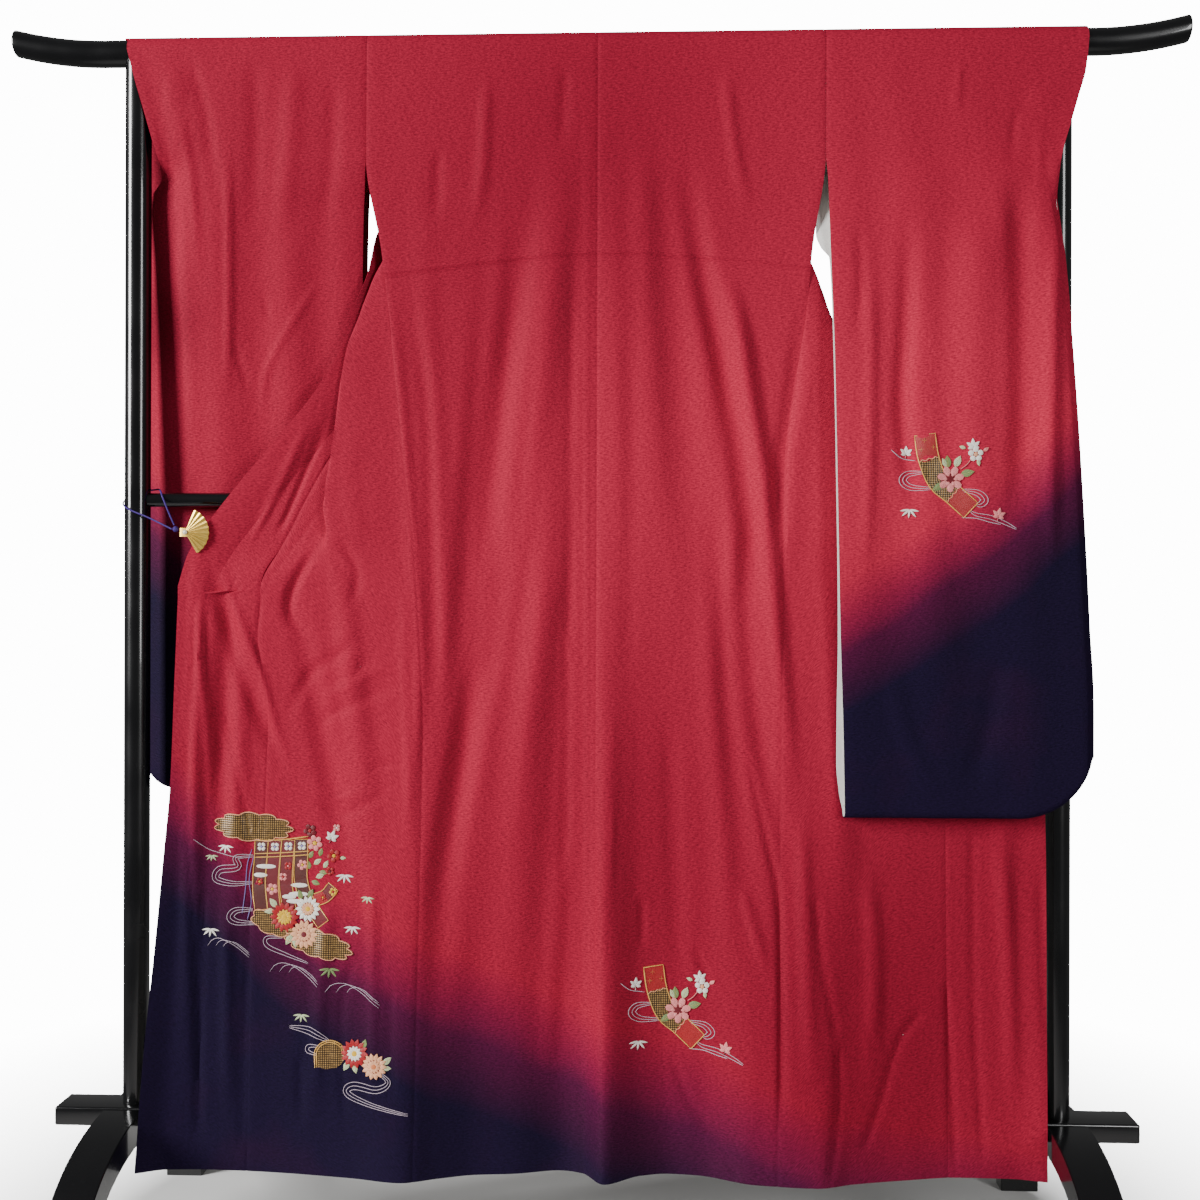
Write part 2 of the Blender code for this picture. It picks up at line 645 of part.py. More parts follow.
def sleeve_grids(side):
    """Return the near and the far layer of a sleeve, joined below the mouth."""
    near_table, far_table, foot, corner, steps = LEFT_SLEEVE if side < 0 else RIGHT_SLEEVE
    rows = SLEEVE_ROWS + (foot + ROUND_ROW,)
    near = sleeve_layer(near_table, rows, side, steps, foot, corner, 1.0)
    far = sleeve_layer(far_table, rows, side, steps, foot, corner, FAR_FOLD)
    last = []
    for a, b in zip(near[-1], far[-1]):
        middle = (a + b) / 2.0
        middle[2] -= ROUND_ROW
        last.append(middle)
    near[-1][-1] = (near[-1][-1] + far[-1][-1]) / 2.0
    far[-1][-1] = near[-1][-1]
    near.append(last)
    far.append(last)
    for k, z in enumerate(rows):
        if z <= MOUTH_END_Z:
            below = k + len(WRAP_TURNS)
            joined = (near[below][-1] + far[below][-1]) / 2.0
            near[below][-1] = joined
            far[below][-1] = joined
    for k, spot in enumerate(near[0]):
        spot[0] = (spot[0] + far[0][k][0]) / 2.0
        far[0][k] = spot
    return near, far


def sleeve_lining(far):
    """Return the strip of lining that shows along the right sleeve's open edge."""
    rows = [row[:LINING_COLUMNS] for row in far[LINING_START:-2]]
    return moved(rows, -(HALF_CLOTH + SEAM + LINING / 2.0))


def tube(name, path, radii, material, sides=20, ends=None, sharp=40.0):
    """Build a round bar along X, Y or Z rings given as functions of an angle."""
    points = []
    faces = []
    for centre, across, up, radius in zip(path[0], path[1], path[2], radii):
        for k in range(sides):
            angle = (k + 0.5) * 2.0 * math.pi / sides
            points.append(centre + across * radius * math.cos(angle) + up * radius * math.sin(angle))
    if ends is not None:
        points = ends(points, sides)
    rings = len(radii)
    for ring in range(rings - 1):
        for k in range(sides):
            follow = (k + 1) % sides
            faces.append([ring * sides + k, ring * sides + follow,
                          (ring + 1) * sides + follow, (ring + 1) * sides + k])
    for base in (0, (rings - 1) * sides):
        for k in range(sides // 2 - 1):
            faces.append([base + k, base + k + 1, base + sides - 2 - k, base + sides - 1 - k])
    return add_solid(name, points, faces, material, sharp)


def straight(start, end, count, across, up):
    """Return a straight path of rings for a bar."""
    centres = [start + (end - start) * k / (count - 1) for k in range(count)]
    return centres, [across] * count, [up] * count


def build_rod(material):
    """Build the top rod, straight in the middle and lifted at both ends."""
    places = [-ROD_HALF, -ROD_HALF + ROD_EDGE]
    places += [-ROD_STRAIGHT - (ROD_HALF - ROD_STRAIGHT) * share for share in (0.8, 0.53, 0.27, 0.0)]
    places += [0.0] + [-x for x in reversed(places)]
    centres = []
    radii = []
    for x in places:
        over = max(0.0, abs(x) - ROD_STRAIGHT) / (ROD_HALF - ROD_STRAIGHT)
        centres.append(np.array((x, 0.0, ROD_Z + ROD_LIFT * over * over)))
        radii.append(ROD_R - ROD_EDGE if abs(x) > ROD_HALF - ROD_EDGE / 2.0 else ROD_R)
    path = (centres, [AXIS_Y] * len(places), [AXIS_Z] * len(places))
    tube("top_rod", path, radii, material, 28)


def build_post(name, x, material):
    """Build a post whose top is hollowed to take the rod."""
    def hollow_top(points, sides):
        for k in range(len(points) - sides, len(points)):
            fit = ROD_R + JOINT
            points[k][2] = ROD_Z - math.sqrt(max(fit * fit - points[k][1] ** 2, 0.0))
        return points
    foot = np.array((x, 0.0, BASE_HIGH + JOINT))
    head = np.array((x, 0.0, ROD_Z - ROD_R))
    tube(name, straight(foot, head, 2, AXIS_Y, AXIS_X), [POST_R] * 2, material, 24, hollow_top)


def build_rail(material):
    """Build the middle rail, its ends hollowed to meet the posts."""
    def hollow_ends(points, sides):
        fit = POST_R + JOINT
        for k in range(sides):
            reach = POST_X - math.sqrt(fit * fit - points[k][1] ** 2)
            points[k][0] = -reach
            points[len(points) - sides + k][0] = reach
        return points
    start = np.array((-POST_X + POST_R, 0.0, RAIL_Z))
    end = np.array((POST_X - POST_R, 0.0, RAIL_Z))
    tube("mid_rail", straight(start, end, 2, AXIS_Y, AXIS_Z), [RAIL_R] * 2, material, 16, hollow_ends)


def build_base(material):
    """Build the base rail with eased edges."""
    cut = BASE_BEVEL
    low, high, deep = BASE_LOW, BASE_HIGH, BASE_DEEP
    profile = ((deep - cut, low), (deep, low + cut), (deep, high - cut), (deep - cut, high),
               (cut - deep, high), (-deep, high - cut), (-deep, low + cut), (cut - deep, low))
    points = []
    faces = []
    for x, shrink in ((-BASE_HALF, cut), (cut - BASE_HALF, 0.0), (BASE_HALF - cut, 0.0), (BASE_HALF, cut)):
        middle = (low + high) / 2.0
        for y, z in profile:
            points.append((x, y - math.copysign(shrink, y), z - math.copysign(shrink, z - middle)))
    count = len(profile)
    for ring in range(3):
        for k in range(count):
            follow = (k + 1) % count
            faces.append([ring * count + k, ring * count + follow,
                          (ring + 1) * count + follow, (ring + 1) * count + k])
    faces.append(list(range(count)))
    faces.append(list(range(3 * count, 4 * count)))
    add_solid("base_rail", points, faces, material, 30.0)


def arch_line(half, high, power, count):
    """Return one side of an arch in Y and Z, from its foot to its crown."""
    spots = []
    for k in range(count + 1):
        angle = math.pi / 2.0 * k / count
        y = half * max(math.cos(angle), 0.0) ** (2.0 / power)
        z = high * math.sin(angle) ** (2.0 / power) if k else 0.0
        spots.append((y, z))
    return spots


def build_foot(name, side, material):
    """Build one arched foot board, notched for the base rail."""
    notch = BASE_DEEP + JOINT
    floor = BASE_LOW - JOINT
    count = 12
    outer = arch_line(FOOT_HALF, FOOT_HIGH, ARCH_POWER, count)
    inner = arch_line(ARCH_HALF, ARCH_HIGH, ARCH_POWER, count)
    kept = [k for k in range(count + 1) if outer[k][0] > notch + BASE_BEVEL * 2.0]
    shoulder = FOOT_HIGH * (1.0 - (notch / FOOT_HALF) ** ARCH_POWER) ** (1.0 / ARCH_POWER)
    under = ARCH_HIGH * (1.0 - (notch / ARCH_HALF) ** ARCH_POWER) ** (1.0 / ARCH_POWER)
    pairs = [(outer[k], inner[k]) for k in kept]
    pairs += [((notch, shoulder), (notch, under)), ((notch, floor), (notch * 0.7, under))]
    pairs += [((-y, z), (-v, w)) for (y, z), (v, w) in reversed(pairs)]
    form = bmesh.new()
    sides = []
    for x in (FOOT_INNER_X * side, FOOT_OUTER_X * side):
        known = {}
        line = []
        for pair in pairs:
            for spot in pair:
                if spot not in known:
                    known[spot] = form.verts.new((x, *spot))
            line.append([known[spot] for spot in pair])
        sides.append(line)
    for near, far in zip(pairs[:-1], pairs[1:]):
        k = pairs.index(near)
        for line in sides:
            ring = [line[k][0], line[k + 1][0], line[k + 1][1], line[k][1]]
            ring = [v for j, v in enumerate(ring) if v is not ring[j - 1]]
            form.faces.new(ring)
        for row in (0, 1):
            if near[row] != far[row]:
                form.faces.new((sides[0][k][row], sides[0][k + 1][row],
                                sides[1][k + 1][row], sides[1][k][row]))
    for k in (0, -1):
        form.faces.new((sides[0][k][0], sides[0][k][1], sides[1][k][1], sides[1][k][0]))
    form.verts.index_update()
    points = [tuple(v.co) for v in form.verts]
    faces = [[v.index for v in face.verts] for face in form.faces]
    form.free()
    add_solid(name, points, faces, material, 30.0)


def build_fan(name, pivot, material, lean):
    """Build the folding-fan front of a clip as one pleated plate."""
    count = FAN_RIBS * 2
    rows = []
    for radius in FAN_RINGS:
        line = []
        for k in range(count + 1):
            angle = lean + FAN_SPREAD * (0.5 - k / count)
            crest = FAN_PLEAT if k % 2 else 0.0
            swell = crest * min(1.0, radius / FAN_FLAT)
            reach = radius - (FAN_TOOTH if k % 2 == 0 and radius == FAN_R else 0.0)
            spoke = np.array((reach * math.cos(angle), -swell, reach * math.sin(angle)))
            line.append(pivot + spoke)
        rows.append(line)
    wall(name, [rows], material, FAN_THICK / 2.0)


def build_ball(name, centre, radius, material, squash=1.0):
    """Build a small round body."""
    form = bmesh.new()
    bmesh.ops.create_uvsphere(form, u_segments=14, v_segments=8, radius=radius)
    for vert in form.verts:
        vert.co.y *= squash
    points = [np.array(v.co) + centre for v in form.verts]
    form.verts.index_update()
    faces = [[v.index for v in face.verts] for face in form.faces]
    form.free()
    add_solid(name, points, faces, material, 80.0)


def build_jaw(name, side, pivot, material):
    """Build the bent strip that grips the cloth's edge under the fan."""
    front = CLIP_CLOTH_DEPTH + JAW_HALF_GAP
    back = CLIP_CLOTH_DEPTH - JAW_HALF_GAP
    half_turn = [(JAW_REACH, back), (JAW_BEND, back), (JAW_HEEL, back)]
    profile = half_turn + [(-JAW_TAIL, CLIP_CLOTH_DEPTH)]
    profile += [(x, front) for x, depth in reversed(half_turn)]
    rows = []
    for z in (pivot[2] - JAW_HALF_WIDE, pivot[2], pivot[2] + JAW_HALF_WIDE):
        rows.append([np.array((pivot[0] - side * x, -depth, z)) for x, depth in profile])
    wall(name, [rows], material, JAW_THICK / 2.0)


def build_cord(name, path, radius, material, sides=8):
    """Build a round cord along a smooth open path of points in metres."""
    corners = [np.array(p) for p in path]
    steps = 3 * (len(corners) - 1)
    spots = [along(corners, k * (len(corners) - 1) / steps) for k in range(steps + 1)]
    points = []
    up = AXIS_Z
    for k, spot in enumerate(spots):
        ahead = spots[min(k + 1, steps)] - spots[max(k - 1, 0)]
        ahead = ahead / np.linalg.norm(ahead)
        across = np.cross(ahead, up)
        across /= np.linalg.norm(across)
        rise = np.cross(across, ahead)
        for j in range(sides):
            angle = (j + 0.5) * 2.0 * math.pi / sides
            points.append(spot + across * radius * math.cos(angle) + rise * radius * math.sin(angle))
    faces = []
    for ring in range(steps):
        for k in range(sides):
            follow = (k + 1) % sides
            faces.append([ring * sides + k, ring * sides + follow,
                          (ring + 1) * sides + follow, (ring + 1) * sides + k])
    for base in (0, steps * sides):
        for k in range(sides // 2 - 1):
            faces.append([base + k, base + k + 1, base + sides - 2 - k, base + sides - 1 - k])
    return add_solid(name, points, faces, material, 60.0)


def cord_path(side, knot):
    """Return the cord's way from the knot round the post and rail and back."""
    post = side * POST_X
    wrap = POST_R + CORD_CLEAR + CORD_R
    over_rail = RAIL_R + CORD_R
    start = knot + np.array((side * (KNOT_R + 0.0009), -0.0012, 0.0))
    end = knot + np.array((side * 0.0022, 0.0010, KNOT_R + 0.0012))
    path = [start, np.array((post - side * 0.024, -wrap - 0.0030, CORD_LOW - 0.0095))]
    for k, degrees in enumerate(CORD_TURNS):
        angle = math.radians(degrees)
        path.append(np.array((post + side * wrap * math.cos(angle), wrap * math.sin(angle),
                              CORD_LOW + CORD_RISE * k)))
    path.append(np.array((post - side * 0.0195, wrap * 0.72, RAIL_Z + 0.0155)))
    path.append(np.array((post - side * 0.031, 0.0015, RAIL_Z + over_rail + 0.0030)))
    path.append(np.array((post - side * 0.040, -over_rail - 0.0016, RAIL_Z + 0.003)))
    path.append(path[-1] * 0.45 + end * 0.55 + np.array((0.0, -0.0015, 0.0)))
    path.append(end)
    return path


def build_clip(word, side, gilt, pearl, purple):
    """Build one clip, its knot and the cord that goes round the post."""
    shift = to_side(-FAN_X / MM, FAN_Z, side) * MM
    pivot = np.array((shift, -FAN_DEPTH, FAN_Z))
    lean = FAN_LEAN if side < 0 else math.pi - FAN_LEAN
    build_fan("fan_" + word, pivot, gilt, lean)
    bead = pivot + np.array((0.0, -0.0012, 0.0))
    build_ball("pivot_" + word, bead, PIVOT_R, pearl, PIVOT_FLAT)
    build_jaw("jaw_" + word, side, pivot, gilt)
    knot = pivot + np.array((side * (JAW_TAIL + KNOT_R + 0.0016), 0.0038, 0.0045))
    build_ball("knot_" + word, knot, KNOT_R, purple, KNOT_FLAT)
    build_cord("cord_" + word, cord_path(side, knot), CORD_R, purple)


def main():
    """Build the kimono, its clips and its stand."""
    for item in list(bpy.data.objects):
        bpy.data.objects.remove(item, do_unlink=True)
    lacquer = finish("black_lacquer", LACQUER)
    silk = finish("crimson_silk_crepe", CRIMSON)
    white = finish("white_silk_lining", WHITE_SILK)
    gilt = finish("gilt_metal", GILT)
    pearl = finish("pearl_bead", PEARL)
    purple = finish("purple_cord", PURPLE)
    build_rod(lacquer)
    build_post("post_left", -POST_X, lacquer)
    build_post("post_right", POST_X, lacquer)
    build_rail(lacquer)
    build_base(lacquer)
    build_foot("foot_left", -1, lacquer)
    build_foot("foot_right", 1, lacquer)
    for word, side in (("left", -1), ("right", 1)):
        front = front_grid(side)
        wall("body_" + word, [back_grid(side), front], silk)
        wall("overlap_" + word, [overlap_grid(side, front)], silk)
        near, far = sleeve_grids(side)
        wall("sleeve_" + word, [near, far], silk)
        if side > 0:
            wall("lining_sleeve_" + word, [sleeve_lining(far)], white, LINING / 2.0)
        build_clip(word, side, gilt, pearl, purple)
    wall("collar", [collar_grid()], silk)


main()
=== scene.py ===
"""Looks of a furisode kimono hung from behind over a lacquered garment stand.

Units are metres and up is +Z.  The back of the kimono faces -Y.  Tables of the cloth
are in millimetres; a depth is measured from the rod's axis towards -Y.
"""

import logging
import math
from collections.abc import Callable
from dataclasses import dataclass, field
from enum import Enum
from typing import ClassVar

import bmesh
import bpy
import numpy as np
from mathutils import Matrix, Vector
from mathutils.bvhtree import BVHTree

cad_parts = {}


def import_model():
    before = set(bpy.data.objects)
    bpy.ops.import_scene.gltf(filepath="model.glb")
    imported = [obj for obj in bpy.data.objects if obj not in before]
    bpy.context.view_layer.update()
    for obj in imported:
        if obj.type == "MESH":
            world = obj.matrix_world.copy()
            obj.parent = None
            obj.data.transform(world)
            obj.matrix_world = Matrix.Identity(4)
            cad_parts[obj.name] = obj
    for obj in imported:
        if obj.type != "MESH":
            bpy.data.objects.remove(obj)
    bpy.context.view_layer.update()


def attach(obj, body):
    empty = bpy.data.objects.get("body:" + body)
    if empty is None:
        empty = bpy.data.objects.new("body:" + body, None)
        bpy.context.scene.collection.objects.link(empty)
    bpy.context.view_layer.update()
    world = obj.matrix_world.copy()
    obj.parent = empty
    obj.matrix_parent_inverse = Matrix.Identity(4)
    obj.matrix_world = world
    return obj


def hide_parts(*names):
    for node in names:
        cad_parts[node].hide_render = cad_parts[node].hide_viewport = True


LOG = logging.getLogger("furisode")
MM = 0.001
Colour = tuple[float, float, float, float]
Rows = tuple[tuple[float, ...], ...]


class Side(Enum):
    """Which side of the kimono, as seen from behind it."""

    LEFT = -1
    RIGHT = 1

    @property
    def word(self) -> str:
        """Return the side's name in piece names."""
        return self.name.lower()


class Fold(Enum):
    """How a crease stands in the cloth."""

    SOFT = "a rounded ridge or trough"
    PRESSED = "a narrow ridge with straight slopes"
    LAPPED = "a gentle rise on one side that drops at once on the other"


# Sizes shared with the solids, in metres.
ROD_Z = 1.682
ROD_R = 0.0185
CLOTH = 0.0014
WRAP_R = ROD_R + 0.0011 + CLOTH / 2.0
HEM_Z = 0.125
SKIRT_TOP_Z = 1.250
SEAM_TOP_Z = 1.405
PLEAT_END_Z = 0.9175
# Above this height the front hangs by its plan, and from the pleat's end down it
# hangs as plain cloth.
PLAN_Z = 0.985
MOUTH_END_Z = 1.455
GROOVE_DEEP = 0.0008
GROOVE_HALF = 0.0024
TUCK_Z = 1.372
TUCK_HIGH = 0.020
# The centre seam's place along X and how far the waist tuck stands out, in millimetres.
CENTRE_X = 8.0
TUCK_DEEP = 0.6
# Points of cloth closer than this are one point, in metres.
WELD = 2e-5
# How far a strand climbs as it goes once round the cord, in metres.
CORD_PITCH = 0.004

# Columns: height, place along X of the side seam.
SIDE_LEFT = (
    (1682, -315), (1525, -315), (1405, -293), (1248, -276), (1082, -258), (975, -245), (703, -231),
    (391, -234), (125, -236))
SIDE_RIGHT = (
    (1682, 322), (1525, 322), (1405, 305), (1295, 294), (1103, 268), (975, 265), (638, 261),
    (125, 255))
# Columns: height, place along X of the overlap's seam below the pleat.
OVERLAP_LEFT = (
    (910, -461), (856, -464), (812, -457), (753, -449), (625, -451), (467, -470), (125, -469))
OVERLAP_RIGHT = ((910, 484), (620, 486), (366, 488), (125, 490))
# Columns: height, place along X of the free front edge.
EDGE_LEFT = (
    (921, -576), (783, -580), (660, -583), (551, -591), (420, -601), (312, -610), (206, -616),
    (125, -619))
EDGE_RIGHT = ((921, 600), (783, 612), (625, 620), (420, 622), (125, 621))
# Columns: height in metres, depth of the plain hanging cloth.
REST = ((1.682, 20.3), (1.600, 21.0), (1.400, 22.6), (1.050, 25.0), (0.125, 25.0))
# Columns: place along X, depth of the hem in front of the rod's axis.
HEM_WAVE = (
    (-619, 75), (-580, 58), (-530, 55), (-460, 58), (-322, 76), (-252, 90), (-205, 73), (-157, 57),
    (-100, 50), (-39, 35), (-8, 44), (22, 82), (69, 50), (108, 40), (150, 44), (225, 74),
    (309, 82), (356, 66), (430, 48), (504, 35), (575, 36), (619, 46))
# Main folds.  Columns: height and place along X at the top, the same at the foot,
# half width, and how far the fold stands out (below zero it is a trough).
FOLDS = (
    (1330, -148, 640, -186, 26, -7.0), (1300, -92, 560, -176, 24, 5.0),
    (1180, -58, 430, -146, 22, -5.0), (1120, -30, 420, -104, 24, 4.5),
    (1500, 96, 900, 152, 34, -6.0), (1020, 170, 420, 226, 24, -6.0),
    (1250, 196, 700, 218, 26, 4.5), (1480, 28, 980, 44, 30, 3.5), (1440, -236, 760, -204, 24, 3.0),
    (980, -352, 560, -300, 24, 5.5), (900, -410, 520, -330, 22, -5.0),
    (960, -548, 300, -556, 16, 7.0), (930, -506, 560, -520, 20, -7.0),
    (880, -480, 380, -500, 18, 4.0), (900, 330, 420, 352, 24, 4.0), (880, 560, 420, 566, 22, 4.0))
# How much wider a main fold is at its foot than at its top.
FOLD_SPREAD = 0.4
# Front panel, left side, in plan.  Columns: height, then X and depth of the side
# edge, of the pleat's near turn, of its far turn and of the seam.
PLEAT = (
    (1682, -315, -20.3, -240.2, -20.3, -165.3, -20.3, -90.5, -20.3),
    (1640, -315, -20.6, -250, -25.0, -184, -21.2, -118.5, -22.5),
    (1600, -315, -20.8, -260, -33.0, -205, -21.5, -150.5, -25.0),
    (1525, -315, -21.0, -281, -33.0, -241, -22.0, -210.5, -29.0),
    (1470, -307, -4.0, -290, -15.0, -258, -13.0, -245.5, -28.0),
    (1438, -300, 10.0, -278, -1.0, -242, -6.0, -257.7, -26.5),
    (1405, -294, 20.0, -276, 10.0, -224, -5.0, -269.5, -22.0),
    (1360, -290, 21.0, -300, 14.5, -214, -3.0, -290.5, -8.0),
    (1335, -286, 23.0, -311, 16.5, -220, 1.0, -295.8, -3.5),
    (1310, -284, 23.5, -321, 18.5, -230, 5.0, -301.0, 0.0),
    (1285, -281, 24.0, -331, 20.0, -240, 7.5, -304.0, 1.0),
    (1260, -278, 24.5, -340, 22.5, -250, 10.0, -306.5, 2.0),
    (1210, -272, 25.0, -350, 23.5, -262, 12.0, -311.0, 5.0),
    (1160, -267, 25.5, -355, 24.5, -278, 14.0, -331.0, 9.0),
    (1100, -260, 26.0, -364, 25.5, -305, 16.0, -372.0, 12.0),
    (1040, -253, 26.5, -369, 28.0, -345, 16.0, -405.0, 14.0),
    (1008, -249, 27.0, -360, 29.0, -368, 17.0, -420.6, 15.4),
    (975, -245, 27.5, -350, 27.8, -384, 21.5, -438.0, 17.0),
    (917.5, -242, 29.0, -315, 29.0, -388, 28.0, -459.0, 27.0))
# Where the front panel's columns lie: 1 and 2 are the pleat's turns and 3 is the seam.
PANEL_STEPS = (0.0, 0.36, 0.72, 1.0, 1.28, 1.54, 1.77, 2.0, 2.23, 2.48, 2.74, 3.0)
# Collar, left half.  Columns: height of the sewn edge, its X and depth, then X,
# depth and height of the free edge.
COLLAR = (
    (1682, -89.6, -20.4, -66, -25.0, 1641), (1640, -117.6, -22.5, -94, -31.0, 1597),
    (1600, -149.6, -25.0, -128, -40.0, 1558), (1525, -209.6, -29.0, -204, -54.0, 1482),
    (1470, -244.6, -29.2, -257, -56.0, 1440), (1438, -258.8, -27.8, -287, -35.0, 1436),
    (1405, -270.4, -22.0, -300, 4.0, 1428), (1360, -291.4, -8.0, -314, 13.5, 1366),
    (1310, -302.0, 0.0, -333, 16.5, 1318), (1260, -308.0, 2.5, -345, 17.5, 1275),
    (1210, -319.5, 6.0, -359.5, 18.0, 1243), (1160, -352.4, 10.0, -392, 19.5, 1193),
    (1100, -401.4, 13.0, -441.4, 21.0, 1133), (1040, -451.8, 15.5, -491.8, 23.0, 1073),
    (975, -501.0, 20.5, -541, 26.5, 1008), (935, -523.5, 25.0, -564, 28.5, 969),
    (923, -528.0, 26.3, -576, 30.0, 928))
# Collar at the neck's corner.  Columns: angle from the rod's top, X, height and
# depth of the free edge.
NECK_CORNER = (
    (0.045, -38.0, 1.654, -21.0), (0.410, -46.0, 1.652, -22.0), (0.785, -53.0, 1.649, -23.0),
    (1.180, -60.0, 1.645, -24.0))
NECK_Z = 1.655
# Sleeves in plan.  Columns: height, then X and depth of the inner edge, of the
# turn near the outer edge and of the outer edge.
RIGHT_NEAR = (
    (1682, 322.6, 20.3, 560, 20.3, 680, 20.3), (1640, 322.6, 20.5, 560, 20.9, 676, 21.2),
    (1600, 322.6, 20.8, 570, 22.0, 665, 23.2), (1560, 322.6, 21.2, 590, 24.5, 653, 27.0),
    (1525, 322.6, 21.8, 605, 28.0, 642, 33.0), (1490, 325.0, 26.0, 618, 38.0, 635, 40.0),
    (1455, 326.0, 30.0, 621, 43.0, 632, 38.0), (1380, 328.0, 38.0, 631, 48.5, 641, 42.5),
    (1250, 332.0, 50.0, 641, 53.0, 651, 46.5), (1100, 335.0, 55.5, 651, 55.5, 661, 48.5),
    (860, 340.0, 58.0, 664, 56.5, 674, 49.5), (720, 344.0, 60.0, 669, 56.5, 679, 49.5),
    (617, 346.0, 60.0, 669, 56.5, 679, 49.5))
RIGHT_FAR = (
    (1682, 322.6, -20.3, 560, -20.3, 680, -20.3), (1640, 322.6, -20.6, 560, -21.5, 666, -22.5),
    (1600, 322.6, -20.8, 560, -21.5, 640, -24.0), (1560, 322.6, -20.4, 555, -17.0, 612, -12.0),
    (1525, 320.5, -20.6, 560, -4.0, 608, 11.0), (1490, 315.5, -8.0, 585, 18.0, 620, 28.0),
    (1455, 311.5, 8.0, 604, 30.0, 632, 38.0), (1415, 309.0, 18.7, 618, 33.5, 637, 40.4),
    (1394, 316.0, 24.5, 626, 35.4, 639, 41.7), (1380, 326.5, 28.0, 631, 36.5, 641, 42.5),
    (1250, 331.5, 36.5, 641, 40.0, 651, 46.5), (1100, 334.5, 41.0, 651, 42.5, 661, 48.5),
    (860, 337.5, 44.0, 664, 43.0, 674, 49.5), (760, 336.0, 45.5, 668, 43.0, 678, 49.5),
    (690, 335.5, 46.2, 669, 43.0, 679, 49.5), (650, 339.0, 46.6, 669, 43.0, 679, 49.5),
    (617, 346.0, 47.0, 669, 43.0, 679, 49.5))
LEFT_NEAR = (
    (1682, -315.6, 20.3, -560, 20.3, -654, 20.3), (1640, -315.6, 20.5, -560, 20.6, -643, 20.5),
    (1600, -315.6, 20.2, -565, 18.0, -632, 17.0), (1560, -315.6, 20.6, -570, 14.5, -621, 15.0),
    (1540, -315.6, 20.7, -573, 12.0, -616, 9.0), (1525, -315.6, 20.8, -576, 9.5, -614, -2.0),
    (1508, -317.0, 18.0, -580, 8.0, -617, -18.0), (1490, -318.0, 15.0, -584, 7.0, -634, -29.0),
    (1455, -321.0, 7.0, -588, 5.0, -650, -37.0), (1380, -324.0, -1.0, -590, 2.0, -652, -47.0),
    (1250, -326.0, -10.5, -586, -5.0, -654, -53.0),
    (1100, -326.0, -16.5, -586, -15.0, -655, -55.0),
    (1050, -326.0, -17.5, -587, -17.0, -655, -56.0),
    (860, -326.0, -18.5, -590, -18.0, -656, -57.0), (640, -326.0, -19.0, -590, -19.0, -656, -58.0))
LEFT_FAR = (
    (1682, -315.6, -20.3, -560, -20.3, -672, -20.3),
    (1640, -315.6, -20.6, -560, -22.5, -659, -24.0),
    (1600, -315.6, -20.4, -565, -26.0, -647, -27.0),
    (1560, -315.6, -20.8, -565, -29.0, -649, -32.0),
    (1525, -315.6, -21.0, -565, -31.0, -649, -34.0),
    (1490, -318.0, -23.0, -568, -33.0, -649, -36.0),
    (1455, -320.0, -25.0, -570, -35.0, -650, -37.0),
    (1380, -322.0, -28.0, -572, -38.0, -652, -47.0),
    (1250, -323.0, -31.0, -572, -41.0, -654, -53.0),
    (1100, -324.0, -33.0, -572, -43.0, -655, -55.0),
    (1050, -324.0, -33.5, -572, -43.0, -655, -56.0),
    (860, -324.0, -34.0, -572, -44.0, -656, -57.0), (640, -324.0, -34.0, -572, -45.0, -656, -58.0))
# Sleeve folds.  Columns: share of the width at the top and at the bottom, half
# width of the fold as a share, how far it stands out.
SLEEVE_FOLDS = (
    (0.10, 0.08, 0.08, 2.5), (0.22, 0.24, 0.09, -2.5), (0.38, 0.40, 0.10, 3.5),
    (0.58, 0.55, 0.12, -3.5), (0.80, 0.76, 0.12, 3.5))
# Right collar and front edge, drawn in behind the back so that the open slit beside
# the sleeve stays clear.  Columns: height, move along X.
SLIT_CLEAR = (
    (1520, 0), (1450, -12), (1405, -18), (1360, -34), (1310, -36), (1260, -22), (1200, 0))
# Broad passages of painted light and shade on the crimson: lighter where the cloth is lit,
# and deeper where it lies in shade.  Columns: place along X, height and reach in metres,
# and how much lighter (or below zero deeper) it is painted there.
PAINTED_LIGHT_PASSAGES = (
    (0.02, 1.05, 0.38, 0.20), (0.46, 1.12, 0.25, 0.60), (0.45, 0.30, 0.38, -0.35),
    (-0.12, 1.50, 0.28, -0.30), (0.12, 0.52, 0.30, -0.10), (-0.62, 1.30, 0.06, -0.60))
# Where crimson turns to navy.  Columns: place along X, height of the middle.
SKIRT_DYE = (
    (-640, 650), (-574, 606), (-520, 555), (-465, 498), (-412, 450), (-362, 422), (-311, 398),
    (-261, 372), (-211, 340), (-161, 326), (-111, 306), (-61, 282), (-12, 262), (38, 241),
    (88, 222), (137, 214), (186, 188), (236, 170), (285, 150), (352, 122), (640, 72))
LEFT_SLEEVE_DYE = ((-700, 1100), (-672, 1060), (-600, 985), (-540, 930), (-420, 880), (-310, 840))
SLEEVE_DYE = (
    (310, 848), (352, 864), (420, 905), (488, 955), (556, 998), (624, 1058), (672, 1100),
    (700, 1114))


def srgb(code: str) -> Colour:
    """Turn an sRGB hex colour into linear RGBA.

    Args:
        code: Six hex digits, with or without a leading #.

    Returns:
        The colour in linear light, with alpha 1.
    """
    digits = code.lstrip("#")
    parts = [int(digits[k:k + 2], 16) / 255.0 for k in (0, 2, 4)]
    linear = [p / 12.92 if p <= 0.04045 else ((p + 0.055) / 1.055) ** 2.4 for p in parts]
    return (linear[0], linear[1], linear[2], 1.0)


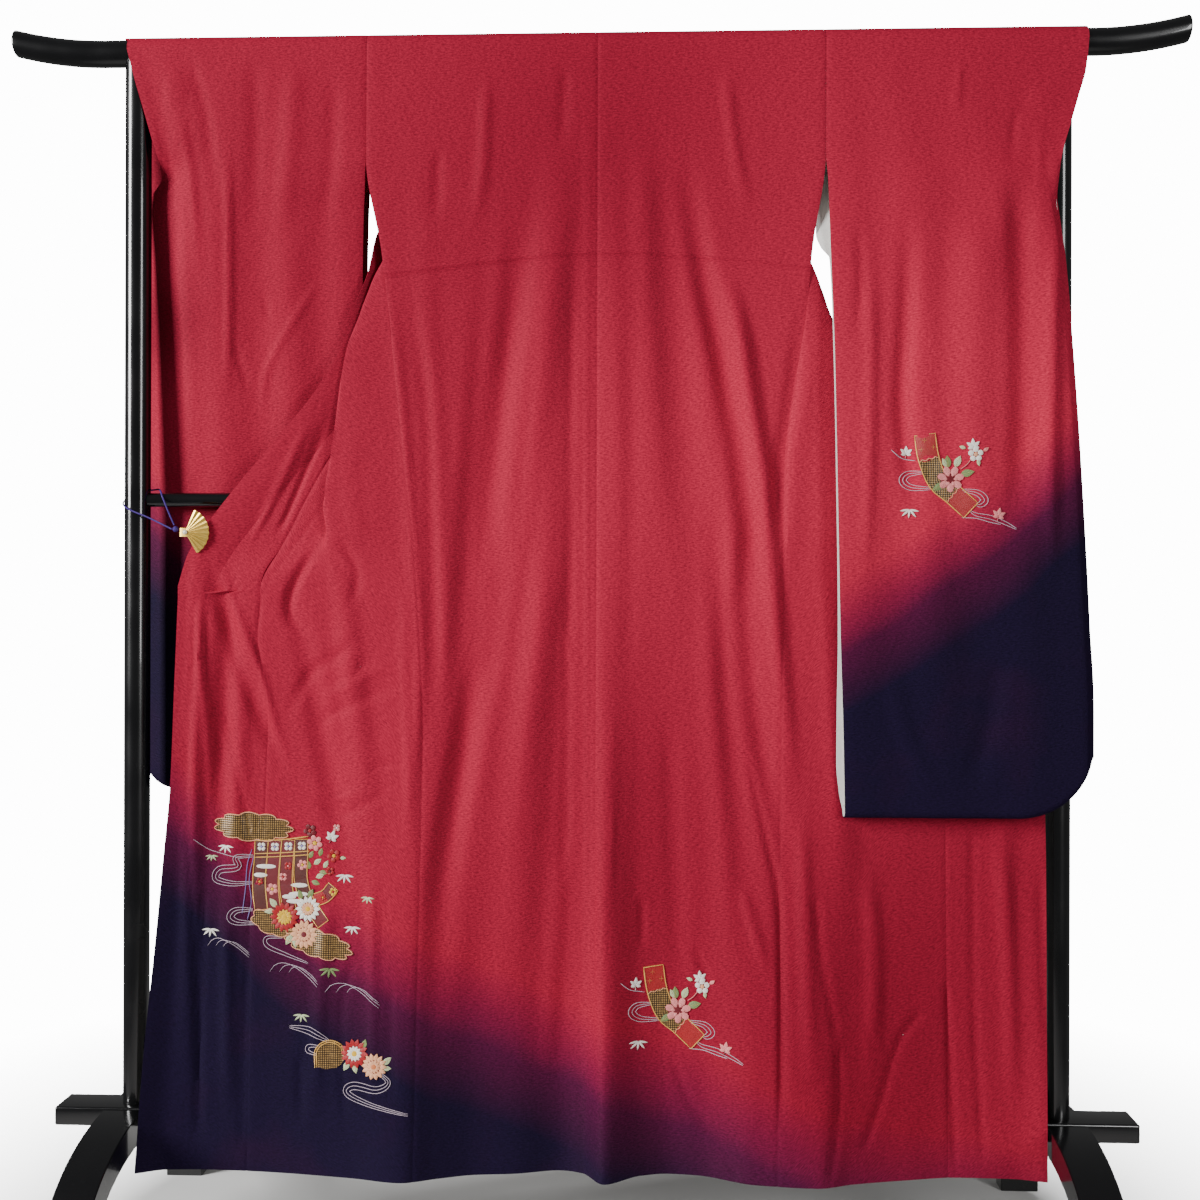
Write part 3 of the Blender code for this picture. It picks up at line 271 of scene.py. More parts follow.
def add_node(tree: bpy.types.NodeTree, kind: str, inputs: dict | None = None,
             stops: tuple = (), **settings: object) -> bpy.types.Node:
    """Add a node with its options, its values and its links.

    Args:
        tree: The node tree that takes the node.
        kind: The node's type.
        inputs: Values or other nodes' sockets, by the socket's name or number.
        stops: Places and colours of a colour ramp.
        settings: The node's own options.

    Returns:
        The new node.
    """
    item = tree.nodes.new(kind)
    for name, value in settings.items():
        setattr(item, name, value)
    for name, value in (inputs or {}).items():
        socket = item.inputs[name]
        if isinstance(value, bpy.types.NodeSocket):
            tree.links.new(value, socket)
        else:
            socket.default_value = value
    for k, (place, colour) in enumerate(stops):
        elements = item.color_ramp.elements
        stop = elements[k] if k < 2 else elements.new(place)
        stop.position = place
        stop.color = colour
    return item


def noise(tree: bpy.types.NodeTree, vector: bpy.types.NodeSocket, scale: float, detail: float,
          roughness: float = 0.5) -> bpy.types.NodeSocket:
    """Add a noise texture and return its value."""
    return add_node(tree, "ShaderNodeTexNoise", {"Vector": vector, "Scale": scale, "Detail": detail,
                                                 "Roughness": roughness}).outputs["Fac"]


def wave(tree: bpy.types.NodeTree, vector: bpy.types.NodeSocket, scale: float, way: str,
         more: dict[str, float] | None = None) -> bpy.types.NodeSocket:
    """Add a wave texture that runs along X or Y and return its value."""
    return add_node(tree, "ShaderNodeTexWave", {"Vector": vector, "Scale": scale, **(more or {})},
                    bands_direction=way).outputs["Fac"]


def reckon(tree: bpy.types.NodeTree, operation: str, *values: object) -> bpy.types.NodeSocket:
    """Add a piece of arithmetic and return its result."""
    return add_node(tree, "ShaderNodeMath", dict(enumerate(values)),
                    operation=operation).outputs["Value"]


def ranged(tree: bpy.types.NodeTree, value: bpy.types.NodeSocket, low: float, high: float,
           start: float = 0.0, end: float = 1.0) -> bpy.types.NodeSocket:
    """Add a range that carries start and end over to low and high, and return it."""
    return add_node(tree, "ShaderNodeMapRange", {"Value": value, "From Min": start, "From Max": end,
                                                 "To Min": low, "To Max": high}).outputs["Result"]


def ramp(tree: bpy.types.NodeTree, value: bpy.types.NodeSocket,
         *stops: tuple[float, Colour]) -> bpy.types.NodeSocket:
    """Add a colour ramp and return its colour."""
    return add_node(tree, "ShaderNodeValToRGB", {"Fac": value}, stops).outputs["Color"]


def blend(tree: bpy.types.NodeTree, share: object, first: object,
          second: object) -> bpy.types.NodeSocket:
    """Add a mix of two colours and return it."""
    return add_node(tree, "ShaderNodeMix", {0: share, 6: first, 7: second},
                    data_type="RGBA").outputs[2]


def times(tree: bpy.types.NodeTree, colour: object,
          share: bpy.types.NodeSocket) -> bpy.types.NodeSocket:
    """Add a colour made lighter or deeper by a share and return it."""
    return add_node(tree, "ShaderNodeVectorMath", {0: colour, 1: share},
                    operation="MULTIPLY").outputs["Vector"]


def bump(tree: bpy.types.NodeTree, height: bpy.types.NodeSocket, strength: float, distance: float,
         under: bpy.types.NodeSocket | None = None) -> bpy.types.NodeSocket:
    """Add a bump, over another one if given, and return its normal."""
    inputs = {"Height": height, "Strength": strength, "Distance": distance}
    if under is not None:
        inputs["Normal"] = under
    return add_node(tree, "ShaderNodeBump", inputs).outputs["Normal"]


def plug(tree: bpy.types.NodeTree, item: bpy.types.Node,
         sockets: dict[str, bpy.types.NodeSocket]) -> None:
    """Link sockets to a node's inputs by name."""
    for name, socket in sockets.items():
        tree.links.new(socket, item.inputs[name])


@dataclass(frozen=True)
class Finish:
    """A plain finish; the other finishes add their own pattern to it."""

    name: str
    colour: str
    roughness: float = 0.5
    metallic: float = 0.0
    coat: float = 0.0
    sheen: float = 0.0
    specular: float = 0.5

    def start(self) -> tuple[bpy.types.Material, bpy.types.NodeTree, bpy.types.Node]:
        """Make the material and its shader.

        Returns:
            The material, its node tree and its Principled shader.
        """
        material = bpy.data.materials.new(self.name)
        material.use_nodes = True
        tree = material.node_tree
        shader = tree.nodes["Principled BSDF"]
        shader.inputs["Base Color"].default_value = srgb(self.colour)
        shader.inputs["Roughness"].default_value = self.roughness
        shader.inputs["Metallic"].default_value = self.metallic
        shader.inputs["Specular IOR Level"].default_value = self.specular
        shader.inputs["Coat Weight"].default_value = self.coat
        shader.inputs["Coat Roughness"].default_value = 0.04
        shader.inputs["Sheen Weight"].default_value = self.sheen
        shader.inputs["Sheen Roughness"].default_value = 0.45
        return material, tree, shader

    def material(self) -> bpy.types.Material:
        """Return the finished material, made once."""
        return bpy.data.materials.get(self.name) or self.make()

    def make(self) -> bpy.types.Material:
        """Make the plain material."""
        return self.start()[0]


@dataclass(frozen=True)
class Lacquer(Finish):
    """Black lacquer on planed wood, many rubbed coats that mirror the room."""

    dust: str = "#16171a"

    def make(self) -> bpy.types.Material:
        """Make the lacquer: slow waves of the rubbed coats, and faint dust and wear."""
        material, tree, shader = self.start()
        place = add_node(tree, "ShaderNodeTexCoord").outputs["Object"]
        # 90 mm waves of the rubbing, and 3 mm specks of dust.
        rubbed = noise(tree, place, 11.0, 2.0)
        speck = noise(tree, place, 330.0, 3.0)
        rough = ranged(tree, rubbed, self.roughness * 0.75, self.roughness * 1.5, 0.3, 0.7)
        black = srgb(self.colour)
        tint = ramp(tree, speck, (0.0, black), (0.62, black), (0.78, srgb(self.dust)))
        plug(tree, shader, {"Roughness": rough, "Base Color": tint,
                            "Normal": bump(tree, rubbed, 0.05, 0.002)})
        return material


@dataclass(frozen=True)
class DyedCrepe(Finish):
    """Silk crepe, woven with hard-twisted yarn that puckers it, and dyed in one fade.

    The attribute dye runs from 0 in the crimson to 1 in the navy, and a second attribute
    from 0 to 1 lightens or deepens the crimson: a faint mottle of the dye, and broad
    passages of painted light and shade.
    """

    # Crimson in painted shade and in painted light; the broad passages of painted light mix them.
    deep: str = "#721026"
    light: str = "#bc2c46"
    edge: str = "#521034"
    navy: str = "#180f29"

    def make(self) -> bpy.types.Material:
        """Make the crepe with its pebbled grain and its fade of dye."""
        material, tree, shader = self.start()
        cloth = add_node(tree, "ShaderNodeTexCoord").outputs["UV"]
        place = add_node(tree, "ShaderNodeTexCoord").outputs["Object"]
        dye, tone = (add_node(tree, "ShaderNodeAttribute", attribute_name=name).outputs["Fac"]
                     for name in ("dye", "tone"))
        # The real puckers are 1 to 2 mm; they are drawn 3 mm across so that they show.
        grain_place = add_node(tree, "ShaderNodeMapping",
                               {"Vector": cloth, "Scale": (300.0, 430.0, 1.0)}).outputs["Vector"]
        grain = noise(tree, grain_place, 1.0, 2.0, 0.6)
        # Yarn ridges 4 mm long, slanted by the two twists of the weft.
        rib_place = add_node(tree, "ShaderNodeMapping",
                             {"Vector": cloth, "Scale": (160.0, 620.0, 1.0),
                              "Rotation": (0.0, 0.0, 0.22)}).outputs["Vector"]
        height = reckon(tree, "ADD", grain, noise(tree, rib_place, 1.0, 1.0))
        # Soft cockling about 50 mm across.
        cockle = noise(tree, place, 19.0, 1.5)
        # The edge of the dye wanders by a few millimetres.
        drift = reckon(tree, "MULTIPLY_ADD", noise(tree, place, 9.0, 4.0), 0.16, -0.08)
        fade = ramp(tree, reckon(tree, "ADD", dye, drift), (0.0, (0.0, 0.0, 0.0, 1.0)),
                    (1.0, (1.0, 1.0, 1.0, 1.0)))
        # Painted light and shade: the crimson is mixed from its shaded to its lit colour.
        crimson = blend(tree, tone, srgb(self.deep), srgb(self.light))
        middle = blend(tree, 0.25, crimson, srgb(self.colour))
        # Red gives way to purple, then to navy.
        first = ranged(tree, fade, 0.0, 1.0, 0.12, 0.60)
        last = ranged(tree, fade, 0.0, 1.0, 0.50, 1.0)
        purple = blend(tree, first, middle, srgb(self.edge))
        dyed = blend(tree, last, purple, srgb(self.navy))
        # Painted highlight and painted shade: the colour is lighter on the puckers' tops and darker
        # in the hollows between them.
        shade = times(tree, dyed, ranged(tree, height, 0.68, 1.32, 0.7, 1.3))
        fine = bump(tree, height, 0.55, 0.0009)
        plug(tree, shader, {"Base Color": shade, "Normal": bump(tree, cockle, 0.30, 0.006, fine)})
        return material


@dataclass(frozen=True)
class PlainSilk(Finish):
    """Thin plain-woven silk, used for the lining."""

    def make(self) -> bpy.types.Material:
        """Make the lining silk with a fine crossed weave."""
        material, tree, shader = self.start()
        cloth = add_node(tree, "ShaderNodeTexCoord").outputs["UV"]
        # Threads every 0.3 mm are drawn every 1.5 mm so that they show.
        uneven = {"Distortion": 1.5, "Detail Scale": 3.0}
        warp, weft = (wave(tree, cloth, 210.0, way, uneven) for way in "XY")
        weave = reckon(tree, "ADD", warp, weft)
        slub = ranged(tree, noise(tree, cloth, 30.0, 3.0), 0.90, 1.06)
        plug(tree, shader, {"Base Color": times(tree, srgb(self.colour)[:3], slub),
                            "Normal": bump(tree, weave, 0.25, 0.0003)})
        return material


@dataclass(frozen=True)
class Thread(Finish):
    """Embroidery floss or couched cord, laid side by side along the piece's UV."""

    shadow: str = "#000000"
    pitch: float = 0.0013
    woven: bool = False

    def make(self) -> bpy.types.Material:
        """Make the laid threads: a ridge for each, darker between them."""
        material, tree, shader = self.start()
        cloth = add_node(tree, "ShaderNodeTexCoord").outputs["UV"]
        # A wave texture repeats every pi / 10 units at a scale of 1.
        scale = math.pi / (10.0 * self.pitch)
        lay = wave(tree, cloth, scale, "Y", {"Distortion": 1.2, "Detail": 1.0, "Detail Scale": 2.0})
        mixed = reckon(tree, "MULTIPLY", lay, noise(tree, cloth, 160.0, 2.0))
        if self.woven:
            mixed = reckon(tree, "MULTIPLY", mixed, wave(tree, cloth, scale, "X"))
        tint = ramp(tree, mixed, (0.0, srgb(self.shadow)),
                    (0.45 if self.woven else 0.22, srgb(self.colour)))
        plug(tree, shader, {"Base Color": tint, "Normal": bump(tree, lay, 0.5, 0.0004)})
        return material


@dataclass(frozen=True)
class Metal(Finish):
    """Pressed brass leaf under a gilt plate."""

    def make(self) -> bpy.types.Material:
        """Make the gilt metal with fine rolling marks and a duller bloom."""
        material, tree, shader = self.start()
        place = add_node(tree, "ShaderNodeTexCoord").outputs["Object"]
        stretch = add_node(tree, "ShaderNodeMapping",
                           {"Vector": place, "Scale": (240.0, 240.0, 1500.0)}).outputs["Vector"]
        mark = noise(tree, stretch, 1.0, 3.0)
        rough = ranged(tree, mark, self.roughness * 0.7, self.roughness * 1.6)
        plug(tree, shader, {"Roughness": rough, "Normal": bump(tree, mark, 0.12, 0.0003)})
        return material


LACQUER = Lacquer("urushi_black_lacquer", "#08080a", roughness=0.20, coat=0.6)
CREPE = DyedCrepe("silk_crepe_dyed", "#9e182f", roughness=0.66, sheen=0.0, specular=0.06)
LINING = PlainSilk("plain_silk_lining", "#f6f3ee", roughness=0.50, sheen=0.10, specular=0.35)
GILT = Metal("gilt_brass", "#f2c964", roughness=0.30, metallic=0.8)
PEARL = Finish("pearl_bead", "#ece3d2", roughness=0.22, coat=0.5)
CORD_SILK = Thread("purple_silk_cord", "#45208c", roughness=0.55, shadow="#1a0a40", pitch=0.0012)


def read_rows(table: Rows, keys: np.ndarray) -> np.ndarray:
    """Read a table at many keys along a curve that doesn't swing past its rows.

    Args:
        table: Rows whose first column is the key.
        keys: The keys to read, of any shape.

    Returns:
        The other columns, with the keys' shape in front.
    """
    rows = np.array(table, dtype=float)
    rows = rows[np.argsort(rows[:, 0])]
    known, values = rows[:, 0], rows[:, 1:]
    keys = np.clip(np.asarray(keys, dtype=float), known[0], known[-1])
    place = np.clip(np.searchsorted(known, keys, side="right") - 1, 0, len(known) - 2)
    gaps = np.diff(known)
    slopes = np.diff(values, axis=0) / gaps[:, None]
    tangents = np.zeros_like(values)
    tangents[0], tangents[-1] = slopes[0], slopes[-1]
    product = slopes[:-1] * slopes[1:]
    total = np.where(product > 0.0, slopes[:-1] + slopes[1:], 1.0)
    tangents[1:-1] = np.where(product > 0.0, 2.0 * product / total, 0.0)
    gap = gaps[place][..., None]
    t = ((keys - known[place]) / gaps[place])[..., None]
    return ((1.0 + 2.0 * t) * (1.0 - t) ** 2 * values[place]
            + t * t * (3.0 - 2.0 * t) * values[place + 1]
            + t * (1.0 - t) ** 2 * gap * tangents[place]
            + t * t * (t - 1.0) * gap * tangents[place + 1])


def read_one(table: Rows, keys: np.ndarray) -> np.ndarray:
    """Read a table of two columns at many keys."""
    return read_rows(table, keys)[..., 0]


def along(corners: np.ndarray, t: np.ndarray) -> np.ndarray:
    """Read soft curves through corners.

    Args:
        corners: Corners of each curve, shaped curves, corners, values.
        t: Places along every curve, 0 at its first corner and 1 at the next.

    Returns:
        Points shaped curves, places, values.
    """
    count = corners.shape[1]
    place = np.minimum(t.astype(int), count - 2)
    local = (t - place)[None, :, None]
    before = corners[:, np.maximum(place - 1, 0)]
    start = corners[:, place]
    end = corners[:, place + 1]
    after = corners[:, np.minimum(place + 2, count - 1)]
    lean = np.where((place > 0)[None, :, None], (end - before) / 2.0, end - start)
    rise = np.where((place + 2 < count)[None, :, None], (after - start) / 2.0, end - start)
    return ((1.0 + 2.0 * local) * (1.0 - local) ** 2 * start
            + local * local * (3.0 - 2.0 * local) * end
            + local * (1.0 - local) ** 2 * lean
            + local * local * (local - 1.0) * rise)


def quads(ids: np.ndarray) -> np.ndarray:
    """Return the four-cornered faces of a grid of point numbers."""
    return np.stack((ids[:-1, :-1], ids[:-1, 1:], ids[1:, 1:], ids[1:, :-1]),
                    axis=-1).reshape(-1, 4)


def ease(value: np.ndarray, low: float, high: float) -> np.ndarray:
    """Rise smoothly from 0 at low to 1 at high."""
    t = np.clip((np.asarray(value, dtype=float) - low) / (high - low), 0.0, 1.0)
    return t * t * (3.0 - 2.0 * t)


def side_table(side: Side) -> Rows:
    """Return the side seam's table."""
    return SIDE_LEFT if side is Side.LEFT else SIDE_RIGHT


def to_side(x: np.ndarray, z: np.ndarray, side: Side) -> np.ndarray:
    """Turn left-hand places along X, in millimetres, into those on the wanted side."""
    if side is Side.LEFT:
        return x
    return read_one(SIDE_RIGHT, z / MM) + read_one(SIDE_LEFT, z / MM) - x


def slit_clear(z: np.ndarray, side: Side) -> np.ndarray:
    """Return how far the collar's seam is drawn in beside the sleeve, millimetres."""
    moved = read_one(SLIT_CLEAR, z / MM)
    return moved * (side is Side.RIGHT)


def grooved(grid: np.ndarray, last: bool = True) -> np.ndarray:
    """Sink a grid's edge columns a little, as a pressed seam draws them in.

    Args:
        grid: Points in rows down the cloth, the first column sewn.
        last: Whether the last column is sewn too.

    Returns:
        The grid with its sewn edges sunk away from the camera.
    """
    steps = np.linalg.norm(np.diff(grid, axis=1), axis=2)
    far = np.concatenate((np.zeros((len(grid), 1)), np.cumsum(steps, axis=1)), axis=1)
    rest = far[:, -1:] - far
    sunk = np.exp(-(far / GROOVE_HALF) ** 2) + last * np.exp(-(rest / GROOVE_HALF) ** 2)
    pressed = grid.copy()
    pressed[..., 1] += sunk * GROOVE_DEEP
    return pressed


def spots(x: np.ndarray, depth: np.ndarray, z: np.ndarray) -> np.ndarray:
    """Return points in metres from X and depth in millimetres and height in metres."""
    return np.stack(np.broadcast_arrays(x * MM, -depth * MM, z), axis=-1)


def over_rod(x: np.ndarray, turn: np.ndarray, back: float) -> np.ndarray:
    """Return points on the cloth's bend over the rod.

    Args:
        x: Places along X in millimetres.
        turn: Angles from the rod's top.
        back: 1 on the far side of the rod and -1 on the near side.
    """
    return np.stack(np.broadcast_arrays(x * MM, back * WRAP_R * np.sin(turn),
                                        ROD_Z + WRAP_R * np.cos(turn)), axis=-1)


def skirt_depth(x: np.ndarray, hem_x: np.ndarray, z: np.ndarray) -> np.ndarray:
    """Return the depth of the hanging cloth with the hem's waves and the main folds."""
    share = np.clip((SKIRT_TOP_Z - z) / (SKIRT_TOP_Z - HEM_Z), 0.0, None) ** 2
    depth = read_one(REST, z)
    depth = depth + share * (read_one(HEM_WAVE, hem_x) - depth)
    for top_z, top_x, foot_z, foot_x, half, height in FOLDS:
        place = (top_z * MM - z) / ((top_z - foot_z) * MM)
        line = top_x + (foot_x - top_x) * place
        reach = np.clip(1.0 - np.minimum(1.0, np.abs(place - 0.5) / 0.75), 0.0, 1.0)
        off = np.abs(x - line) / (half * (1.0 + FOLD_SPREAD * np.maximum(place, 0.0)))
        rise = np.sin(reach * math.pi / 2.0) * np.cos(np.minimum(off, 1.0) * math.pi / 2.0)
        depth = depth + height * rise * rise
    tuck = (z - TUCK_Z) / TUCK_HIGH
    held = (tuck >= 0.0) & (tuck < 1.0) & (z < SEAM_TOP_Z)
    return depth + np.where(held, TUCK_DEEP * (1.0 - tuck), 0.0)


@dataclass(frozen=True)
class Crease:
    """One crease, given as a line on the cloth seen from the camera's side."""

    line: tuple[tuple[float, float], ...]
    half: float
    height: float
    fold: Fold = Fold.SOFT
    start: float = 0.25
    end: float = 0.35
    # How far a soft crease leans, as a share of its half width.
    LEAN: ClassVar[float] = 0.45
    # Points along a curved crease, and the width of a lap's drop in millimetres.
    COUNT: ClassVar[int] = 14
    DROP: ClassVar[float] = 5.0

    def relief(self, x: np.ndarray, z: np.ndarray) -> np.ndarray:
        """Return how far the crease lifts the cloth at places in millimetres.

        Args:
            x: Places along X.
            z: Heights.

        Returns:
            The lift towards the camera, in millimetres.
        """
        corners = np.array(self.line, dtype=float)
        if self.fold is Fold.SOFT:
            # The given line marks the flank that faces away from the light.
            corners = corners + (self.half * self.LEAN, 0.0)
        if len(corners) > 2:
            corners = along(corners[None], np.linspace(0, len(corners) - 1, self.COUNT))[0]
        best = np.full(x.shape, 1e9)
        where = np.zeros(x.shape)
        hand = np.zeros(x.shape)
        steps = len(corners) - 1
        for k in range(steps):
            start, run = corners[k], corners[k + 1] - corners[k]
            size = float(run @ run)
            t = np.clip(((x - start[0]) * run[0] + (z - start[1]) * run[1]) / size, 0.0, 1.0)
            dx = x - start[0] - run[0] * t
            dz = z - start[1] - run[1] * t
            off = np.hypot(dx, dz)
            near = off < best
            best = np.where(near, off, best)
            where = np.where(near, (k + t) / steps, where)
            hand = np.where(near, np.sign(run[0] * dz - run[1] * dx), hand)
        fade = ease(where, 0.0, self.start) * (1.0 - ease(where, 1.0 - self.end, 1.0))
        reach = best / self.half
        if self.fold is Fold.SOFT:
            shape = np.cos(np.minimum(reach, 1.0) * math.pi / 2.0) ** 2
        elif self.fold is Fold.PRESSED:
            shape = np.clip(1.0 - reach, 0.0, 1.0) ** 1.6
        else:
            slope = np.clip(1.0 - reach, 0.0, 1.0) ** 1.5
            drop = np.clip(1.0 - best / self.DROP, 0.0, 1.0) ** 1.5
            shape = np.where(hand > 0.0, slope, drop)
        return self.height * fade * shape


class Relief:
    """A set of creases that neighbouring pieces of cloth share."""

    def __init__(self, creases: tuple[Crease, ...]) -> None:
        """Keep the creases."""
        self.creases = creases

    def lift(self, grid: np.ndarray) -> np.ndarray:
        """Return a grid of points lifted towards the camera by the creases."""
        x, z = grid[..., 0] / MM, grid[..., 2] / MM
        total = np.zeros(x.shape)
        for crease in self.creases:
            total += crease.relief(x, z)
        raised = grid.copy()
        raised[..., 1] -= total * MM
        return raised


def dye_of(x: np.ndarray, z: np.ndarray, line: Rows, spread: float) -> np.ndarray:
    """Return how far the dye has gone from crimson to navy at places in metres."""
    middle = read_one(line, x / MM) * MM
    return np.clip(0.5 + (middle - z) / (2.0 * spread), 0.0, 1.0)


def tone_of(x: np.ndarray, z: np.ndarray) -> np.ndarray:
    """Return a faint mottle of the dye and broad passages of painted light and shade on the
    crimson, at places in metres.
    """
    # A faint mottle in waves of 0.57 m across and 0.90 m down.
    tone = 0.5 + 0.09 * np.sin(11.0 * x + 1.1) * np.sin(7.0 * z)
    # Painted light and shade: lighter where the cloth is lit, deeper where it lies in shade.
    for place, height, reach, change in PAINTED_LIGHT_PASSAGES:
        tone += change * np.exp(-((x - place) ** 2 + (z - height) ** 2) / reach ** 2)
    return np.clip(tone, 0.0, 1.0)


def put_in_scene(name: str, data: bpy.types.ID) -> bpy.types.Object:
    """Put a mesh, a lamp or a camera into the scene under its name."""
    item = bpy.data.objects.new(name, data)
    bpy.context.scene.collection.objects.link(item)
    return item


def lay_uv(mesh: bpy.types.Mesh, lengths: np.ndarray) -> None:
    """Give a mesh the UV map that its weave follows, from lengths at each point."""
    corners = np.zeros(len(mesh.loops), dtype=np.int32)
    mesh.loops.foreach_get("vertex_index", corners)
    layer = mesh.uv_layers.new(name="cloth")
    layer.data.foreach_set("uv", lengths[corners].astype(np.float32).ravel())


@dataclass
class ClothPiece:
    """One cut piece of cloth, built from grids of points on its middle surface."""

    name: str
    grids: list[np.ndarray]
    flips: list[bool]
    replaces: tuple[str, ...]
    flat: tuple[float, float]
    dye_line: Rows = SKIRT_DYE
    dye_spread: float = 0.115
    half: float = CLOTH / 2.0
    rests_on: tuple[str, ...] = ("top_rod",)
    area: float | None = None
    outer: Finish = CREPE
    inner: Finish = LINING
    slot: str = "silk"
    points: np.ndarray = field(init=False)
    faces: list[list[int]] = field(init=False)
    item: bpy.types.Object = field(init=False)

    def gather(self) -> tuple[np.ndarray, np.ndarray]:
        """Join the grids where their points meet.

        Returns:
            The joined points, and the lengths across and down the cloth at each.
        """
        every, lengths, layout = [], [], []
        start = 0
        for grid in self.grids:
            rows, columns = grid.shape[:2]
            across = np.zeros((rows, columns))
            across[:, 1:] = np.cumsum(np.linalg.norm(np.diff(grid, axis=1), axis=2), axis=1)
            down = np.zeros((rows, columns))
            down[1:] = np.cumsum(np.linalg.norm(np.diff(grid, axis=0), axis=2), axis=0)
            every.append(grid.reshape(-1, 3))
            lengths.append(np.stack((across, down), axis=-1).reshape(-1, 2))
            layout.append(np.arange(start, start + rows * columns).reshape(rows, columns))
            start += rows * columns
        points = np.concatenate(every)
        _, first, index = np.unique(np.round(points / WELD).astype(np.int64), axis=0,
                                    return_index=True, return_inverse=True)
        index = index.reshape(-1)
        faces = []
        for ids, flip in zip(layout, self.flips):
            rings = quads(index[ids])
            faces.append(rings[:, ::-1] if flip else rings)
        self.faces = []
        for quad in np.concatenate(faces).tolist():
            ring = [v for k, v in enumerate(quad) if v != quad[k - 1]]
            if len(ring) > 2:
                self.faces.append(ring)
        return points[first], np.concatenate(lengths)[first]

    def crossed(self, points: np.ndarray, count: int) -> tuple[np.ndarray, np.ndarray]:
        """Return the corners of the first faces, and each face's normal by its size."""
        rings = np.array([ring if len(ring) == 4 else [*ring, ring[-1]]
                          for ring in self.faces[:count]])
        a, b, c, d = (points[rings[:, k]] for k in range(4))
        return rings, np.cross(c - a, d - b)

    def normals(self, points: np.ndarray) -> tuple[np.ndarray, np.ndarray]:
        """Return each point's normal, and how much its faces agree with it."""
        rings, facing = self.crossed(points, len(self.faces))
        unit = facing / np.maximum(np.linalg.norm(facing, axis=1), 1e-12)[:, None]
        total = np.zeros_like(points)
        flat = np.zeros_like(points)
        count = np.zeros(len(points))
        for k in range(4):
            np.add.at(total, rings[:, k], facing)
            np.add.at(flat, rings[:, k], unit)
            np.add.at(count, rings[:, k], 1.0)
        total /= np.maximum(np.linalg.norm(total, axis=1), 1e-12)[:, None]
        agree = np.einsum("ij,ij->i", total, flat / np.maximum(count, 1.0)[:, None])
        return total, agree

    def lean(self, points: np.ndarray) -> float:
        """Return how far the first grid's faces turn towards +Y, below 0 for the camera."""
        rows, columns = self.grids[0].shape[:2]
        _, facing = self.crossed(points, int((rows - 1) * (columns - 1) * 0.98))
        return float(facing[:, 1].sum())

    def build(self) -> bpy.types.Object:
        points, lengths = self.gather()
        normals, agree = self.normals(points)
        if self.lean(points) > 0.0:
            normals = -normals
            self.faces = [ring[::-1] for ring in self.faces]
        reach = self.half / np.maximum(agree, 0.5)
        outer = points + normals * reach[:, None]
        inner = points - normals * reach[:, None]
        count = len(points)
        self.points = outer
        edges: dict[tuple[int, int], int] = {}
        for ring in self.faces:
            for k, first in enumerate(ring):
                pair = (first, ring[(k + 1) % len(ring)])
                edges[pair] = edges.get(pair, 0) + 1
        rim = [(a, b) for a, b in edges if (b, a) not in edges]
        faces = self.faces + [[v + count for v in reversed(ring)] for ring in self.faces]
        faces += [[b, a, a + count, b + count] for a, b in rim]
        mesh = bpy.data.meshes.new(self.name)
        mesh.from_pydata(np.concatenate((outer, inner)).tolist(), [], faces)
        mesh.materials.append(self.outer.material())
        mesh.materials.append(self.inner.material())
        slots = np.zeros(len(faces), dtype=np.int32)
        slots[len(self.faces):2 * len(self.faces)] = 1
        mesh.polygons.foreach_set("material_index", slots)
        self.colour(mesh, points, lengths)
        mesh.shade_smooth()
        mesh.set_sharp_from_angle(angle=math.radians(60.0))
        item = put_in_scene(self.name, mesh)
        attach(item, "root")
        if self.replaces:
            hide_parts(*self.replaces)
        LOG.info("%s: %d faces", self.name, len(faces))
        self.item = item
        return item

    def declare(self, needlework: list[bpy.types.Object] | None = None) -> None:
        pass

    def colour(self, mesh: bpy.types.Mesh, points: np.ndarray, lengths: np.ndarray) -> None:
        """Give the mesh its cloth UV map, its dye, and its mottle with painted light and shade."""
        both = np.concatenate((points, points))
        dye = mesh.attributes.new("dye", "FLOAT", "POINT")
        dye.data.foreach_set("value", dye_of(both[:, 0], both[:, 2], self.dye_line,
                                             self.dye_spread).astype(np.float32))
        # Painted light and shade on the crimson, over a faint mottle of the dye.
        tone = mesh.attributes.new("tone", "FLOAT", "POINT")
        tone.data.foreach_set("value", tone_of(both[:, 0], both[:, 2]).astype(np.float32))
        lay_uv(mesh, np.concatenate((lengths, lengths)))
